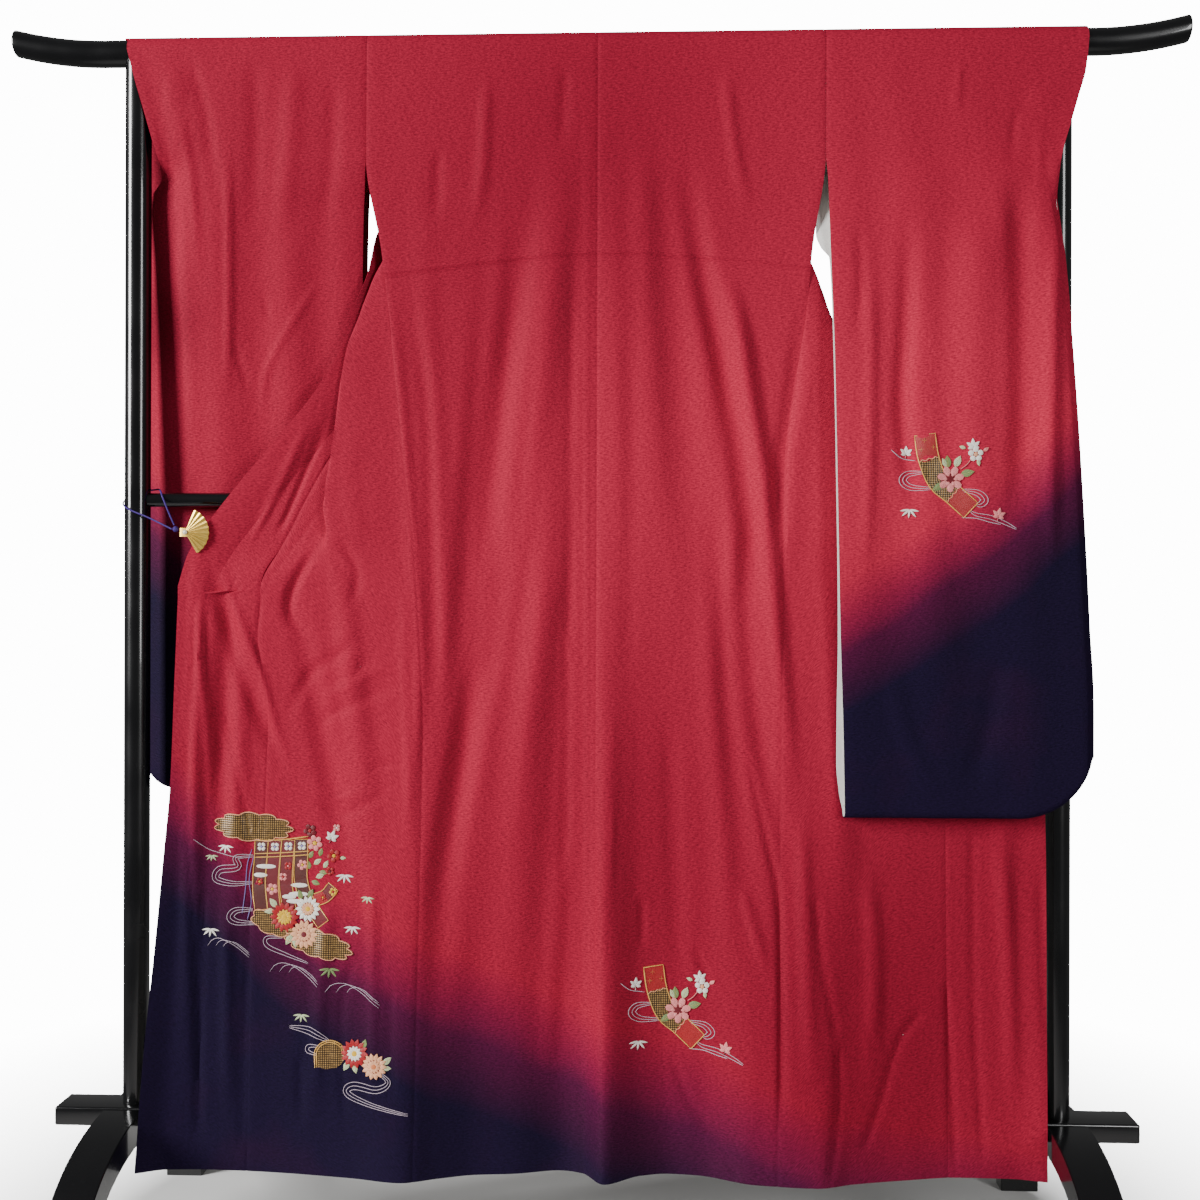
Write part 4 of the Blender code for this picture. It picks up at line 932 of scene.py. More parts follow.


# Creases, listed one by one.  Each: points along its line (place along X, height), half
# width, and how far it stands out, all in millimetres.
BACK_CREASES = (
    Crease(((-5, 1601), (-6, 1186), (-4, 772), (-5, 385), (-6, 233)),
            6, 1.3, Fold.PRESSED, start=0.05, end=0.1),
    Crease(((-260, 1302), (-209, 1304), (-120, 1308), (-54, 1318), (90, 1321), (167, 1312),
            (274, 1298)), 9, 0.5, Fold.LAPPED, start=0.1, end=0.1),
    Crease(((-112, 1475), (-120, 1354), (-136, 1215), (-148, 1076), (-152, 882), (-184, 716),
            (-212, 549), (-222, 410), (-230, 271)), 32, -9.6),
    Crease(((-64, 1602), (-70, 1409), (-82, 1242), (-92, 1021), (-98, 882), (-120, 716),
            (-146, 549), (-172, 394)), 40, 8.0),
    Crease(((-31, 1474), (-33, 1187), (-36, 827), (-41, 578), (-43, 467)), 12, -1.6),
    Crease(((107, 1572), (125, 1462), (146, 1340), (175, 1213), (204, 1020), (201, 882),
            (216, 745), (231, 662), (247, 580), (262, 442)), 26, -9.2),
    Crease(((171, 1373), (193, 1296), (210, 1185), (232, 1048), (244, 882), (262, 717),
            (266, 635)),
            20, 9.0),
    Crease(((-293, 1377), (-276, 1244), (-260, 1077), (-243, 827), (-251, 660), (-260, 521)),
            14, 2.8),
    Crease(((-260, 1355), (-237, 1188), (-229, 1021), (-223, 854), (-221, 688)), 16, -3.8),
    Crease(((304, 1295), (277, 1130), (269, 1020), (255, 882)), 16, 3.2),
    Crease(((288, 1350), (266, 1185), (250, 1075), (239, 910)), 16, -3.8),
    Crease(((204, 734), (233, 602), (252, 517), (257, 379), (257, 184)),
            9, -4.3, start=0.2, end=0.1),
    Crease(((-218, 1543), (-221, 1432)), 10, -2.4),
    Crease(((272, 1526), (288, 1515), (310, 1501)), 6, -1.6, Fold.LAPPED),
    Crease(((-31, 866), (-26, 816)), 7, 1.2, Fold.PRESSED),
    Crease(((-29, 644), (-30, 561)), 6, -1.2, Fold.PRESSED),
    Crease(((32, 639), (30, 496)), 5, 1.0, Fold.PRESSED),
    Crease(((18, 863), (63, 852)), 4, -0.8, Fold.PRESSED),
    Crease(((-131, 744), (-9, 741)), 4, -0.8, Fold.PRESSED),
    Crease(((-65, 403), (7, 399)), 4, -0.7, Fold.PRESSED),
    Crease(((140, 436), (167, 392)), 7, -2, Fold.PRESSED),
    Crease(((200, 525), (239, 398)), 12, 4.3),
    Crease(((68, 507), (68, 424)), 9, -2.4),
    Crease(((68, 1586), (57, 1379), (68, 1158), (79, 910)), 30, 2.4),
    Crease(((41, 1324), (46, 1048), (41, 689)), 20, -1.4),
    Crease(((-154, 1645), (-156, 1534), (-168, 1423)), 14, 2.9),
    Crease(((-42, 1657), (-48, 1533)), 12, -2.3),
    Crease(((178, 1648), (189, 1543), (211, 1433)), 14, 2.9),
    Crease(((21, 772), (18, 606), (7, 385)), 18, 1.6),
    Crease(((151, 965), (154, 772), (173, 552), (184, 359)), 24, 2.4),
    Crease(((-48, 578), (-59, 412), (-70, 218)), 20, 2.4),
    Crease(((96, 772), (107, 551), (118, 276)), 22, -2.4),
)
LEFT_FRONT_CREASES = (
    Crease(((-395, 1168), (-445, 1060), (-486, 980)), 9, 2.9),
    Crease(((-364, 1188), (-425, 1040), (-445, 999)), 8, -3.1),
    Crease(((-374, 1044), (-429, 965), (-455, 925), (-463, 865)),
            4, -1.0, Fold.PRESSED, start=0.1, end=0.1),
    Crease(((-463, 865), (-460, 770), (-455, 731), (-460, 612), (-474, 418), (-477, 199)),
            4, -1.0, Fold.PRESSED, start=0.1, end=0.1),
    Crease(((-474, 418), (-476, 300), (-477, 150)), 9, -2.6, Fold.PRESSED, start=0.2, end=0.1),
    Crease(((-384, 990), (-419, 930), (-425, 890), (-400, 856)), 12, -5.8),
    Crease(((-541, 965), (-524, 905), (-505, 845), (-487, 791), (-455, 720), (-422, 640)),
            18, -5.5),
    Crease(((-554, 955), (-548, 830), (-535, 706), (-531, 546)), 9, 3.8),
    Crease(((-533, 980), (-496, 890), (-460, 801), (-441, 731), (-410, 652)), 8, 3.6),
    Crease(((-550, 970), (-558, 782), (-562, 623), (-548, 364), (-541, 119)),
            8, -3.6, start=0.1, end=0.2),
    Crease(((-520, 781), (-496, 682), (-486, 632), (-460, 490)), 8, -2.9),
    Crease(((-435, 731), (-395, 807), (-350, 836), (-334, 860)), 13, -2.6),
    Crease(((-390, 737), (-339, 762), (-261, 796)), 12, -2.2),
    Crease(((-379, 770), (-334, 793), (-272, 826)), 12, 2.2),
    Crease(((-315, 831), (-335, 786)), 6, -2.2),
    Crease(((-310, 677), (-265, 687)), 6, -2.2),
    Crease(((-390, 638), (-350, 613), (-310, 628), (-269, 659)), 7, -2.6),
    Crease(((-398, 659), (-350, 635), (-305, 652)), 8, 2.4),
    Crease(((-360, 999), (-329, 950), (-339, 890)), 9, -3.1),
    Crease(((-335, 1149), (-335, 1050), (-328, 966)), 9, 3.1),
    Crease(((-318, 430), (-339, 342), (-330, 177)), 9, -3.0, Fold.PRESSED, start=0.2, end=0.2),
    Crease(((-275, 408), (-272, 297), (-269, 213)), 7, -2.9),
    Crease(((-401, 295), (-398, 184)), 9, -2.6),
    Crease(((-536, 528), (-538, 350), (-538, 160)), 9, -3.2, Fold.PRESSED, start=0.2, end=0.1),
    Crease(((-511, 490), (-506, 350), (-503, 168)), 14, 4.3),
    Crease(((-364, 519), (-376, 366), (-381, 184)), 16, 4.3),
    Crease(((-305, 548), (-300, 380), (-297, 199)), 12, 3.8),
    Crease(((-262, 966), (-258, 771), (-249, 548)), 8, 2.6),
)
RIGHT_FRONT_CREASES = (
    Crease(((306, 513), (317, 417), (337, 310)), 9, -3.2, Fold.PRESSED, start=0.1, end=0.1),
    Crease(((337, 310), (337, 229), (323, 126)), 9, -3.8, Fold.PRESSED, start=0.1, end=0.1),
    Crease(((456, 353), (422, 311), (395, 229), (368, 161)),
            9, -3.4, Fold.PRESSED, start=0.1, end=0.1),
    Crease(((523, 613), (524, 480), (526, 340), (539, 130)),
            9, -3.4, Fold.PRESSED, start=0.1, end=0.1),
    Crease(((487, 400), (490, 330), (500, 122)), 9, -3.2, Fold.PRESSED, start=0.3, end=0.1),
    Crease(((109, 294), (137, 226), (178, 172), (205, 124)),
            9, -3.2, Fold.PRESSED, start=0.2, end=0.1),
    Crease(((144, 438), (171, 363)), 8, -2.4, Fold.PRESSED, start=0.2, end=0.2),
    Crease(((553, 597), (564, 420), (572, 175)), 16, 4.6),
    Crease(((369, 555), (380, 418), (374, 226)), 18, 4.3),
    Crease(((282, 636), (287, 458), (296, 225)), 16, 4.6),
    Crease(((607, 570), (612, 420), (620, 203)), 12, -3.8),
    Crease(((336, 480), (364, 475), (385, 484)), 7, -1.9),
    Crease(((317, 445), (355, 440), (380, 448)), 6, -1.4),
    Crease(((380, 333), (385, 281)), 6, -1.9),
    Crease(((287, 261), (304, 256), (320, 264)), 6, -1.9),
)
RIGHT_SLEEVE_CREASES = (
    Crease(((426, 1473), (420, 1301), (414, 1175), (423, 1086), (434, 1018)), 20, -7.2),
    Crease(((503, 1451), (500, 1364), (495, 1239), (500, 1045), (499, 883)), 46, 8.0),
    Crease(((565, 1502), (570, 1369), (570, 1111), (562, 964)), 30, -9.6),
    Crease(((620, 1438), (616, 1274), (613, 1080), (616, 910)), 15, 7.2),
    Crease(((360, 1429), (363, 1340), (353, 1249)), 10, -2.9),
    Crease(((377, 1398), (375, 1235), (372, 1073), (364, 910)), 12, 3.5),
    Crease(((376, 882), (461, 880), (601, 880)), 5, -0.9, Fold.PRESSED, start=0.05, end=0.05),
    Crease(((594, 1644), (576, 1571), (568, 1490)), 8, -2.6),
    Crease(((618, 1638), (608, 1544), (602, 1449)), 8, 2.6),
    Crease(((501, 1650), (495, 1572)), 8, 1.9),
    Crease(((637, 1557), (632, 1449)), 5, -2.2),
    Crease(((608, 1279), (642, 1274)), 4, -1.0, Fold.PRESSED),
    Crease(((602, 1182), (642, 1177)), 4, -0.8, Fold.PRESSED),
    Crease(((393, 829), (420, 721), (461, 640)), 22, 2.9),
    Crease(((541, 842), (528, 748), (501, 640)), 24, -2.9),
)
LEFT_SLEEVE_CREASES = (
    Crease(((-517, 1546), (-517, 1433), (-519, 1292), (-524, 1193)), 9, 3.1),
    Crease(((-512, 1278), (-500, 1235), (-489, 1197)), 6, -2.2),
    Crease(((-385, 1367), (-424, 1307), (-466, 1232), (-473, 1157)), 7, 2.2),
    Crease(((-469, 1348), (-460, 1297)), 5, -1.7),
    Crease(((-632, 1698), (-612, 1590), (-595, 1476), (-586, 1335)), 9, -3.1),
    Crease(((-615, 1700), (-589, 1604), (-569, 1490), (-560, 1334)), 10, 2.9),
    Crease(((-580, 1689), (-549, 1589), (-534, 1447)), 14, -2.0),
    Crease(((-426, 1672), (-434, 1545), (-454, 1390)), 22, 2.2),
    Crease(((-369, 1657), (-372, 1530), (-389, 1418)), 18, -1.8),
    Crease(((-483, 1673), (-480, 1560), (-489, 1419)), 18, -1.8),
)


WRAP_ROWS = np.linspace(0.0, math.pi / 2.0, 9)[:-1]


def heights(high: float, low: float, step: float = 0.006,
            extra: tuple[float, ...] = ()) -> np.ndarray:
    """Return heights from high to low, evenly spaced, with some set ones among them.

    Args:
        high: First height in metres.
        low: Last height.
        step: Wanted spacing.
        extra: Heights that must be among them.

    Returns:
        The heights, falling.
    """
    plain = np.linspace(high, low, int(round((high - low) / step)) + 1)
    for z in extra:
        inside = np.abs(plain[1:-1] - z) > step * 0.3
        plain = np.concatenate((plain[:1], plain[1:-1][inside], plain[-1:], (z,)))
    return np.unique(np.round(plain, 6))[::-1]


# Where the overlap's seam and free edge hang on each side.
TABLES = {Side.LEFT: (OVERLAP_LEFT, EDGE_LEFT), Side.RIGHT: (OVERLAP_RIGHT, EDGE_RIGHT)}


def hung_depth(side: Side, x: np.ndarray, z: np.ndarray) -> np.ndarray:
    """Return the overlap's depth carried on above the clip.

    Args:
        side: Which half of the kimono.
        x: Places along X, in millimetres.
        z: Heights in metres.

    Returns:
        The depths in millimetres.
    """
    seam, edge = TABLES[side]
    low, hem = np.array(PLEAT_END_Z / MM), np.array(HEM_Z / MM)
    share = (x - read_one(seam, low)) / (read_one(edge, low) - read_one(seam, low))
    hem_x = read_one(seam, hem) + (read_one(edge, hem) - read_one(seam, hem)) * share
    return skirt_depth(x, hem_x, z)


class BodyWidth:
    """One width of the body, from the back's hem over the rod to the front's hem."""

    # Columns of the panel run from 0 to 11, and the neck's columns from there to 14.
    PANEL = np.concatenate(((0.0, 0.07, 0.16), np.linspace(0.40, 10.6, 40), (10.84, 10.93, 11.0)))
    NECK = np.append(np.linspace(11.0, 13.85, 16)[1:], (13.92, 13.97, 14.0))
    # Heights between which the front's side edge comes to lie flush with the back.
    FLUSH = (1.260, 1.290)
    # Columns: place along X, height of the tuck's fold over its straight line.
    TUCK_LINE = ((-330, -13), (-290, -10), (-240, -5), (-190, 1), (-140, 7), (-90, 12), (-40, 15),
                 (10, 17), (60, 17), (100, 15), (150, 12), (190, 8), (240, 3), (300, -4), (330, -6))

    def __init__(self, side: Side, relief: Relief) -> None:
        """Keep which width it is and the creases that run over it."""
        self.side = side
        self.relief = relief
        self.side_seam = side_table(side)
        self.seam_table = TABLES[side][0]
        self.steps = np.interp(self.PANEL, np.arange(12), PANEL_STEPS)
        self.shoulder = along(self.front_corners(np.array([ROD_Z])), self.steps)[0, :, 0]
        self.front = self.front_grid()

    def front_corners(self, z: np.ndarray) -> np.ndarray:
        """Return the four corners of the front panel's section at each height."""
        values = read_rows(PLEAT, z / MM).reshape(len(z), 4, 2)
        values[:, 0, 0] = np.where(z < SEAM_TOP_Z, read_one(SIDE_LEFT, z / MM), values[:, 0, 0])
        hem_x = read_one(self.side_seam, np.array(HEM_Z / MM))
        flush = skirt_depth(read_one(self.side_seam, z / MM), hem_x, z)
        free = ease(z, *self.FLUSH)
        values[:, 0, 1] = values[:, 0, 1] * free + flush * (1.0 - free)
        values[..., 0] = to_side(values[..., 0], z[:, None], self.side)
        for corner, share in ((3, 1.0), (2, 0.6), (1, 0.3)):
            values[:, corner, 0] += slit_clear(z, self.side) * share
        return values

    def front_grid(self) -> np.ndarray:
        """Return the front panel from the shoulder to the hem."""
        wrap = over_rod(self.shoulder[None], WRAP_ROWS[:, None], 1.0)
        z = heights(ROD_Z, HEM_Z, extra=(PLEAT_END_Z,))
        section = along(self.front_corners(z), self.steps)
        upper = spots(section[..., 0], section[..., 1], z[:, None])
        near = read_one(self.side_seam, z / MM)[:, None]
        far = read_one(self.seam_table, z / MM)[:, None]
        hem = np.array(HEM_Z / MM)
        near_hem, far_hem = read_one(self.side_seam, hem), read_one(self.seam_table, hem)
        # Below the pleat the columns spread out evenly over 0.35 m.
        even = np.clip((PLEAT_END_Z - z) / 0.35, 0.0, 1.0)[:, None]
        share = self.steps / 3.0 + (self.PANEL / 11.0 - self.steps / 3.0) * even
        x = near + (far - near) * share
        lower = spots(x, skirt_depth(x, near_hem + (far_hem - near_hem) * share, z[:, None]),
                      z[:, None])
        plan = ease(z, PLEAT_END_Z, PLAN_Z)[:, None, None]
        return np.concatenate((wrap, upper * plan + lower * (1.0 - plan)))

    def back_grid(self) -> np.ndarray:
        """Return the back panel from the rod's top to the hem."""
        neck = self.shoulder[-1] + (CENTRE_X - self.shoulder[-1]) * (self.NECK - 11.0) / 3.0
        top = np.concatenate((self.shoulder, neck))
        places = np.concatenate((self.PANEL, self.NECK)) / 14.0
        first = (top - top[0]) / (CENTRE_X - top[0])
        wrap = over_rod(top[None], WRAP_ROWS[:, None], -1.0)
        z = heights(ROD_Z, HEM_Z, extra=(TUCK_Z + TUCK_HIGH, TUCK_Z, TUCK_Z - 0.0008))
        near = read_one(self.side_seam, z / MM)[:, None]
        near_hem = read_one(self.side_seam, np.array(HEM_Z / MM))
        # Below the rod the columns spread out evenly over 0.40 m.
        even = np.minimum(1.0, (ROD_Z - z) / 0.40)[:, None]
        share = first + (places - first) * even
        x = near + (CENTRE_X - near) * share
        depth = skirt_depth(x, near_hem + (CENTRE_X - near_hem) * share, z[:, None])
        raised = read_one(self.TUCK_LINE, x) * MM
        raised = raised * (1.0 - ease(np.abs(z - TUCK_Z), 0.020, 0.160))[:, None]
        return np.concatenate((wrap, spots(x, depth, z[:, None] + raised)))

    def build(self) -> ClothPiece:
        """Build the width."""
        word = self.side.word
        piece = ClothPiece(f"body_{word}_cloth", [grooved(self.relief.lift(self.back_grid())),
                                                  grooved(self.relief.lift(self.front))],
                           [False, True], (f"body_{word}",), flat=(0.30, 3.17))
        piece.build()
        return piece


class Overlap:
    """The tapered overlap panel between the front width and the collar."""

    SHARES = np.concatenate(((0.0, 0.012, 0.028), np.linspace(0.06, 1.0, 25)))
    # Height of the panel's tip.
    TIP_Z = 1.210

    def __init__(self, body: BodyWidth, relief: Relief) -> None:
        """Keep the front width that it is sewn to, and the creases."""
        self.body = body
        self.side = body.side
        self.relief = relief
        self.edge = TABLES[self.side][1]

    def grid(self) -> np.ndarray:
        """Return the panel from its tip to the hem."""
        sewn = self.body.front[::-1, -1]
        z = heights(self.TIP_Z, HEM_Z, extra=(PLEAT_END_Z + 0.004, PLEAT_END_Z))
        inner = np.stack([np.interp(z, sewn[:, 2], sewn[:, k]) for k in range(3)], axis=-1)
        band = read_rows(COLLAR, z / MM)
        outer = spots(to_side(band[:, 0], z, self.side) + slit_clear(z, self.side), band[:, 1], z)
        upper = inner[:, None] + (outer - inner)[:, None] * self.SHARES[None, :, None]
        hem = np.array(HEM_Z / MM)
        inner_x = inner[:, :1] / MM
        x = inner_x + (read_one(self.edge, z / MM)[:, None] - inner_x) * self.SHARES
        inner_hem, outer_hem = read_one(self.body.seam_table, hem), read_one(self.edge, hem)
        hem_x = inner_hem + (outer_hem - inner_hem) * self.SHARES
        lower = spots(x, skirt_depth(x, hem_x + np.zeros_like(x), z[:, None]), z[:, None])
        laid = (1.0 - ease(z, PLEAT_END_Z, PLAN_Z))[:, None]
        hung = hung_depth(self.side, upper[..., 0] / MM, z[:, None] + 0.0 * x)
        upper[..., 1] += (-hung * MM - upper[..., 1]) * laid
        above = (z > PLEAT_END_Z + 0.001)[:, None, None]
        return np.where(above, upper, lower)

    def build(self) -> ClothPiece:
        """Build the panel."""
        word = self.side.word
        piece = ClothPiece(f"overlap_{word}_cloth",
                           [grooved(self.relief.lift(self.grid()), last=False)], [False],
                           (f"overlap_{word}",), flat=(0.155, 1.09), area=0.125)
        piece.build()
        return piece


class Collar:
    """The collar band, from one clip round the neck to the other."""

    # At the neck's corner the band bends over the rod up to this share of its width,
    # which is this column, and hangs free beyond it.
    BENT, BENT_COLUMN = 0.75, 9
    SHARES = np.concatenate((np.linspace(0.0, BENT, 10), (0.81, 0.87, 0.93, 1.0)))
    # How far the band swells, and its gap to the front at the neck, in millimetres.
    ROUND = 1.6
    GAP = 0.9
    # Height of the last row that hangs by the plan.
    FOOT_Z = 0.923
    # Heights of the end's last rows, and how far each stands off the overlap in mm.
    END = (0.9185, 0.9080)
    LAPS = np.array(((1.1,), (-0.1,)))

    def __init__(self, relief: Relief) -> None:
        """Keep the creases."""
        self.relief = relief

    def wrapped(self, sewn: float, free: float, turn: float, free_z: float,
                free_depth: float) -> np.ndarray:
        """Return one row where the band bends over the back of the rod."""
        x = sewn + (free - sewn) * self.SHARES
        angle = turn + (math.pi / 2.0 - turn) * np.minimum(self.SHARES / self.BENT, 1.0)
        row = over_rod(x, angle, 1.0)
        hanging = np.clip((self.SHARES - self.BENT) / (1.0 - self.BENT), 0.0, 1.0)[:, None]
        end = spots(np.array(free), np.array(free_depth), np.array(free_z))
        held = over_rod(np.array(x[self.BENT_COLUMN]), np.array(math.pi / 2.0), 1.0)
        return row * (hanging <= 0.0) + (held + (end - held) * hanging) * (hanging > 0.0)

    def half(self, side: Side) -> tuple[np.ndarray, np.ndarray]:
        """Return one side's rows, at the neck's corner and then down to the clip."""
        top = np.array(ROD_Z)
        edge = float(to_side(np.array(PLEAT[0][-2]), top, side)) - side.value * self.GAP
        corner = np.array([
            self.wrapped(edge, float(to_side(np.array(x), top, side)), turn, z, depth)
            for turn, x, z, depth in NECK_CORNER])
        z = heights(ROD_Z, self.FOOT_Z)
        values = read_rows(COLLAR, z / MM)
        free_z = values[:, 4] * MM
        drawn = slit_clear(z, side)
        sewn = spots(to_side(values[:, 0], z, side) + drawn, values[:, 1], z)
        free = spots(to_side(values[:, 2], free_z, side) + drawn, values[:, 3], free_z)
        band = sewn[:, None] + (free - sewn)[:, None] * self.SHARES[None, :, None]
        swell = np.sin(self.SHARES * math.pi) ** 0.8 * self.ROUND * MM
        band[..., 1] -= swell * (ease(ROD_Z - z, 0.0, 0.06) * ease(z, 0.925, 1.000))[:, None]
        # The band's end laps over the overlap's top and dips under its face.
        x = np.concatenate((band[..., 0], np.repeat(band[-1:, :, 0], len(self.END), axis=0))) / MM
        all_z = np.concatenate((z, self.END))[:, None] + 0.0 * x
        depth = hung_depth(side, x, all_z)
        laps = self.LAPS * ease(self.SHARES, 0.0, 0.3)
        laid = (1.0 - ease(z, PLEAT_END_Z, PLAN_Z))[:, None]
        band[..., 1] += (-(depth[:len(z)] + laps[0]) * MM - band[..., 1]) * laid
        end = spots(x[len(z):], depth[len(z):] + laps, all_z[len(z):])
        return corner, np.concatenate((band, end))

    def grid(self) -> np.ndarray:
        """Return the band from the left clip to the right one."""
        left_corner, left = self.half(Side.LEFT)
        right_corner, right = self.half(Side.RIGHT)
        first, last = left_corner[0, 0, 0] / MM, right_corner[0, 0, 0] / MM
        neck = []
        for share in (0.33, 0.5, 0.67):
            x = first + (last - first) * share
            neck.append(self.wrapped(x, x, NECK_CORNER[0][0], NECK_Z, NECK_CORNER[0][3]))
        coarse = np.concatenate((left[:1], left_corner[::-1], neck, right_corner, right[:1]))
        t = np.linspace(0.0, len(coarse) - 1.0, 8 * (len(coarse) - 1) + 1)[1:-1]
        fine = along(coarse.transpose(1, 0, 2), t).transpose(1, 0, 2)
        return np.concatenate((left[::-1], fine, right))

    def build(self) -> ClothPiece:
        """Build the band."""
        piece = ClothPiece("collar_cloth", [self.relief.lift(self.grid())], [False], ("collar",),
                           flat=(0.055, 2.05), inner=CREPE)
        piece.build()
        return piece


class Sleeve:
    """One sleeve, a long bag folded over the rod and open along its inner edge."""

    # Shares of the width from the inner edge to the turn, and from there to the outer edge.
    INNER = np.linspace(0.0, 1.0, 53)[:-1]
    EDGE = np.linspace(0.0, 1.0, 7)
    # Height of the foot's round and height above the foot where it starts to bend, in metres.
    ROUND_ROW = 0.009
    BEND_REACH = 0.25
    SMOOTHING = 10
    # The lining strip: its top and foot, its columns, and its place before the far layer in mm.
    LINING_TOP_Z, LINING_FOOT_Z = 1.560, 0.632
    LINING_COLUMNS = 13
    LINING_OFF = 1.5
    LINING_HALF = 0.0005

    def __init__(self, side: Side, relief: Relief) -> None:
        """Keep the side and the creases of the near layer."""
        self.side = side
        self.relief = relief
        left = side is Side.LEFT
        self.tables = (LEFT_NEAR, LEFT_FAR) if left else (RIGHT_NEAR, RIGHT_FAR)
        self.foot, self.corner = (0.637, 0.055) if left else (0.617, 0.100)
        self.dye = LEFT_SLEEVE_DYE if left else SLEEVE_DYE
        self.z = heights(ROD_Z, self.foot + self.ROUND_ROW, extra=(MOUTH_END_Z,))

    def fold(self, share: np.ndarray, z: np.ndarray) -> np.ndarray:
        """Return how far the soft folds stand out, millimetres."""
        drop = (ROD_Z - z) / (ROD_Z - self.foot)
        total = np.zeros(np.broadcast(share, z).shape)
        for top, low, half, height in SLEEVE_FOLDS:
            off = np.minimum(np.abs(share - (top + (low - top) * drop)) / half, 1.0)
            total += height * np.cos(off * math.pi / 2.0) ** 2
        return total * np.minimum(1.0, drop / 0.30) * np.minimum(1.0, 0.35 + (1.0 - drop) / 0.4)

    def foot_height(self, x: np.ndarray, z: np.ndarray, edge_x: np.ndarray) -> np.ndarray:
        """Return heights lifted where the sleeve's lower outer corner is round."""
        reach = np.clip(self.side.value * (x - edge_x) * MM + self.corner, 0.0, self.corner)
        lift = self.corner - np.sqrt(self.corner ** 2 - reach ** 2)
        lift = np.minimum(lift, self.corner * 0.86)
        start = self.foot + self.BEND_REACH
        low = self.foot + lift + (z - self.foot) * (start - self.foot - lift) / (start - self.foot)
        return np.where(z >= start, z, low)

    def layer(self, table: Rows, relief: Relief, weight: float) -> np.ndarray:
        """Return one layer from the rod's top down to just above its foot."""
        top = read_rows(table, np.array(ROD_Z / MM))
        back = -1.0 if top[1] > 0.0 else 1.0
        means = [read_rows(t, np.array(ROD_Z / MM))[4] for t in self.tables]
        settled = ease(WRAP_ROWS, 0.0, math.pi / 3.0)[:, None]
        edge_x = (sum(means) / 2.0) * (1.0 - settled) + top[4] * settled
        inner = top[0] + (top[2] - top[0]) * self.INNER + np.zeros_like(edge_x)
        wrap = over_rod(np.concatenate((inner, top[2] + (edge_x - top[2]) * self.EDGE), axis=1),
                        WRAP_ROWS[:, None], back)
        z = self.z[:, None]
        rows = read_rows(table, self.z / MM)[:, :, None]
        inner_x, inner_d, fold_x, fold_d, out_x, out_d = (rows[:, k] for k in range(6))
        x = np.concatenate((inner_x + (fold_x - inner_x) * self.INNER,
                            fold_x + (out_x - fold_x) * self.EDGE), axis=1)
        depth = np.concatenate((inner_d + (fold_d - inner_d) * self.INNER
                                + weight * self.fold(self.INNER, z),
                                fold_d + (out_d - fold_d) * self.EDGE), axis=1)
        for _ in range(self.SMOOTHING):
            depth[:, 1:-1] = depth[:, :-2] * 0.25 + depth[:, 1:-1] * 0.5 + depth[:, 2:] * 0.25
        hung = spots(x, depth, self.foot_height(x, z, out_x))
        return np.concatenate((wrap, relief.lift(hung)))

    def grids(self) -> tuple[np.ndarray, np.ndarray]:
        """Return the near and the far layer, joined below the mouth and at the foot."""
        near = self.layer(self.tables[0], self.relief, 1.0)
        far = self.layer(self.tables[1], Relief(()), 0.3)
        mouth = len(WRAP_ROWS) + int(np.argmin(np.abs(self.z - MOUTH_END_Z)))
        joined = (near[mouth:, -1] + far[mouth:, -1]) / 2.0
        near[mouth:, -1] = joined
        far[mouth:, -1] = joined
        middle = (near[-1] + far[-1]) / 2.0
        rounds = []
        for layer in (near, far):
            rows = [layer]
            for angle in np.linspace(0.0, math.pi / 2.0, 6)[1:]:
                row = middle + (layer[-1] - middle) * max(math.cos(angle), 0.0)
                row[:, 2] -= self.ROUND_ROW * math.sin(angle)
                rows.append(row[None])
            rounds.append(np.concatenate(rows))
        rounds[1][-1] = rounds[0][-1]
        return rounds[0], rounds[1]

    def build(self) -> ClothPiece:
        """Build the sleeve, and on the right the lining that shows inside it."""
        word = self.side.word
        near, far = self.grids()
        piece = ClothPiece(f"sleeve_{word}_cloth", [grooved(near, last=False), far], [False, True],
                           (f"sleeve_{word}",), flat=(0.345, 2.18), dye_line=self.dye,
                           # On the left the inside is crimson crepe, not white lining, so that it
                           # shows dark: painted shade.
                           inner=LINING if self.side is Side.RIGHT else CREPE,
                           dye_spread=0.105)
        piece.build()
        if self.side is Side.RIGHT:
            self.line_mouth(far)
        return piece

    def line_mouth(self, far: np.ndarray) -> None:
        """Build the strip of lining that shows along the open inner edge."""
        z = far[:, 0, 2]
        rows = np.where((z <= self.LINING_TOP_Z) & (z >= self.LINING_FOOT_Z))[0]
        strip = far[rows[0]:rows[-1] + 1, :self.LINING_COLUMNS].copy()
        strip[..., 1] -= self.LINING_OFF * MM
        strip[..., 0] += 0.0002
        lining = ClothPiece("lining_sleeve_right_cloth", [strip], [False],
                            ("lining_sleeve_right",), flat=(0.080, 0.93), half=self.LINING_HALF,
                            outer=LINING, slot="lining", rests_on=("sleeve_right_cloth",))
        lining.build()
        lining.declare()


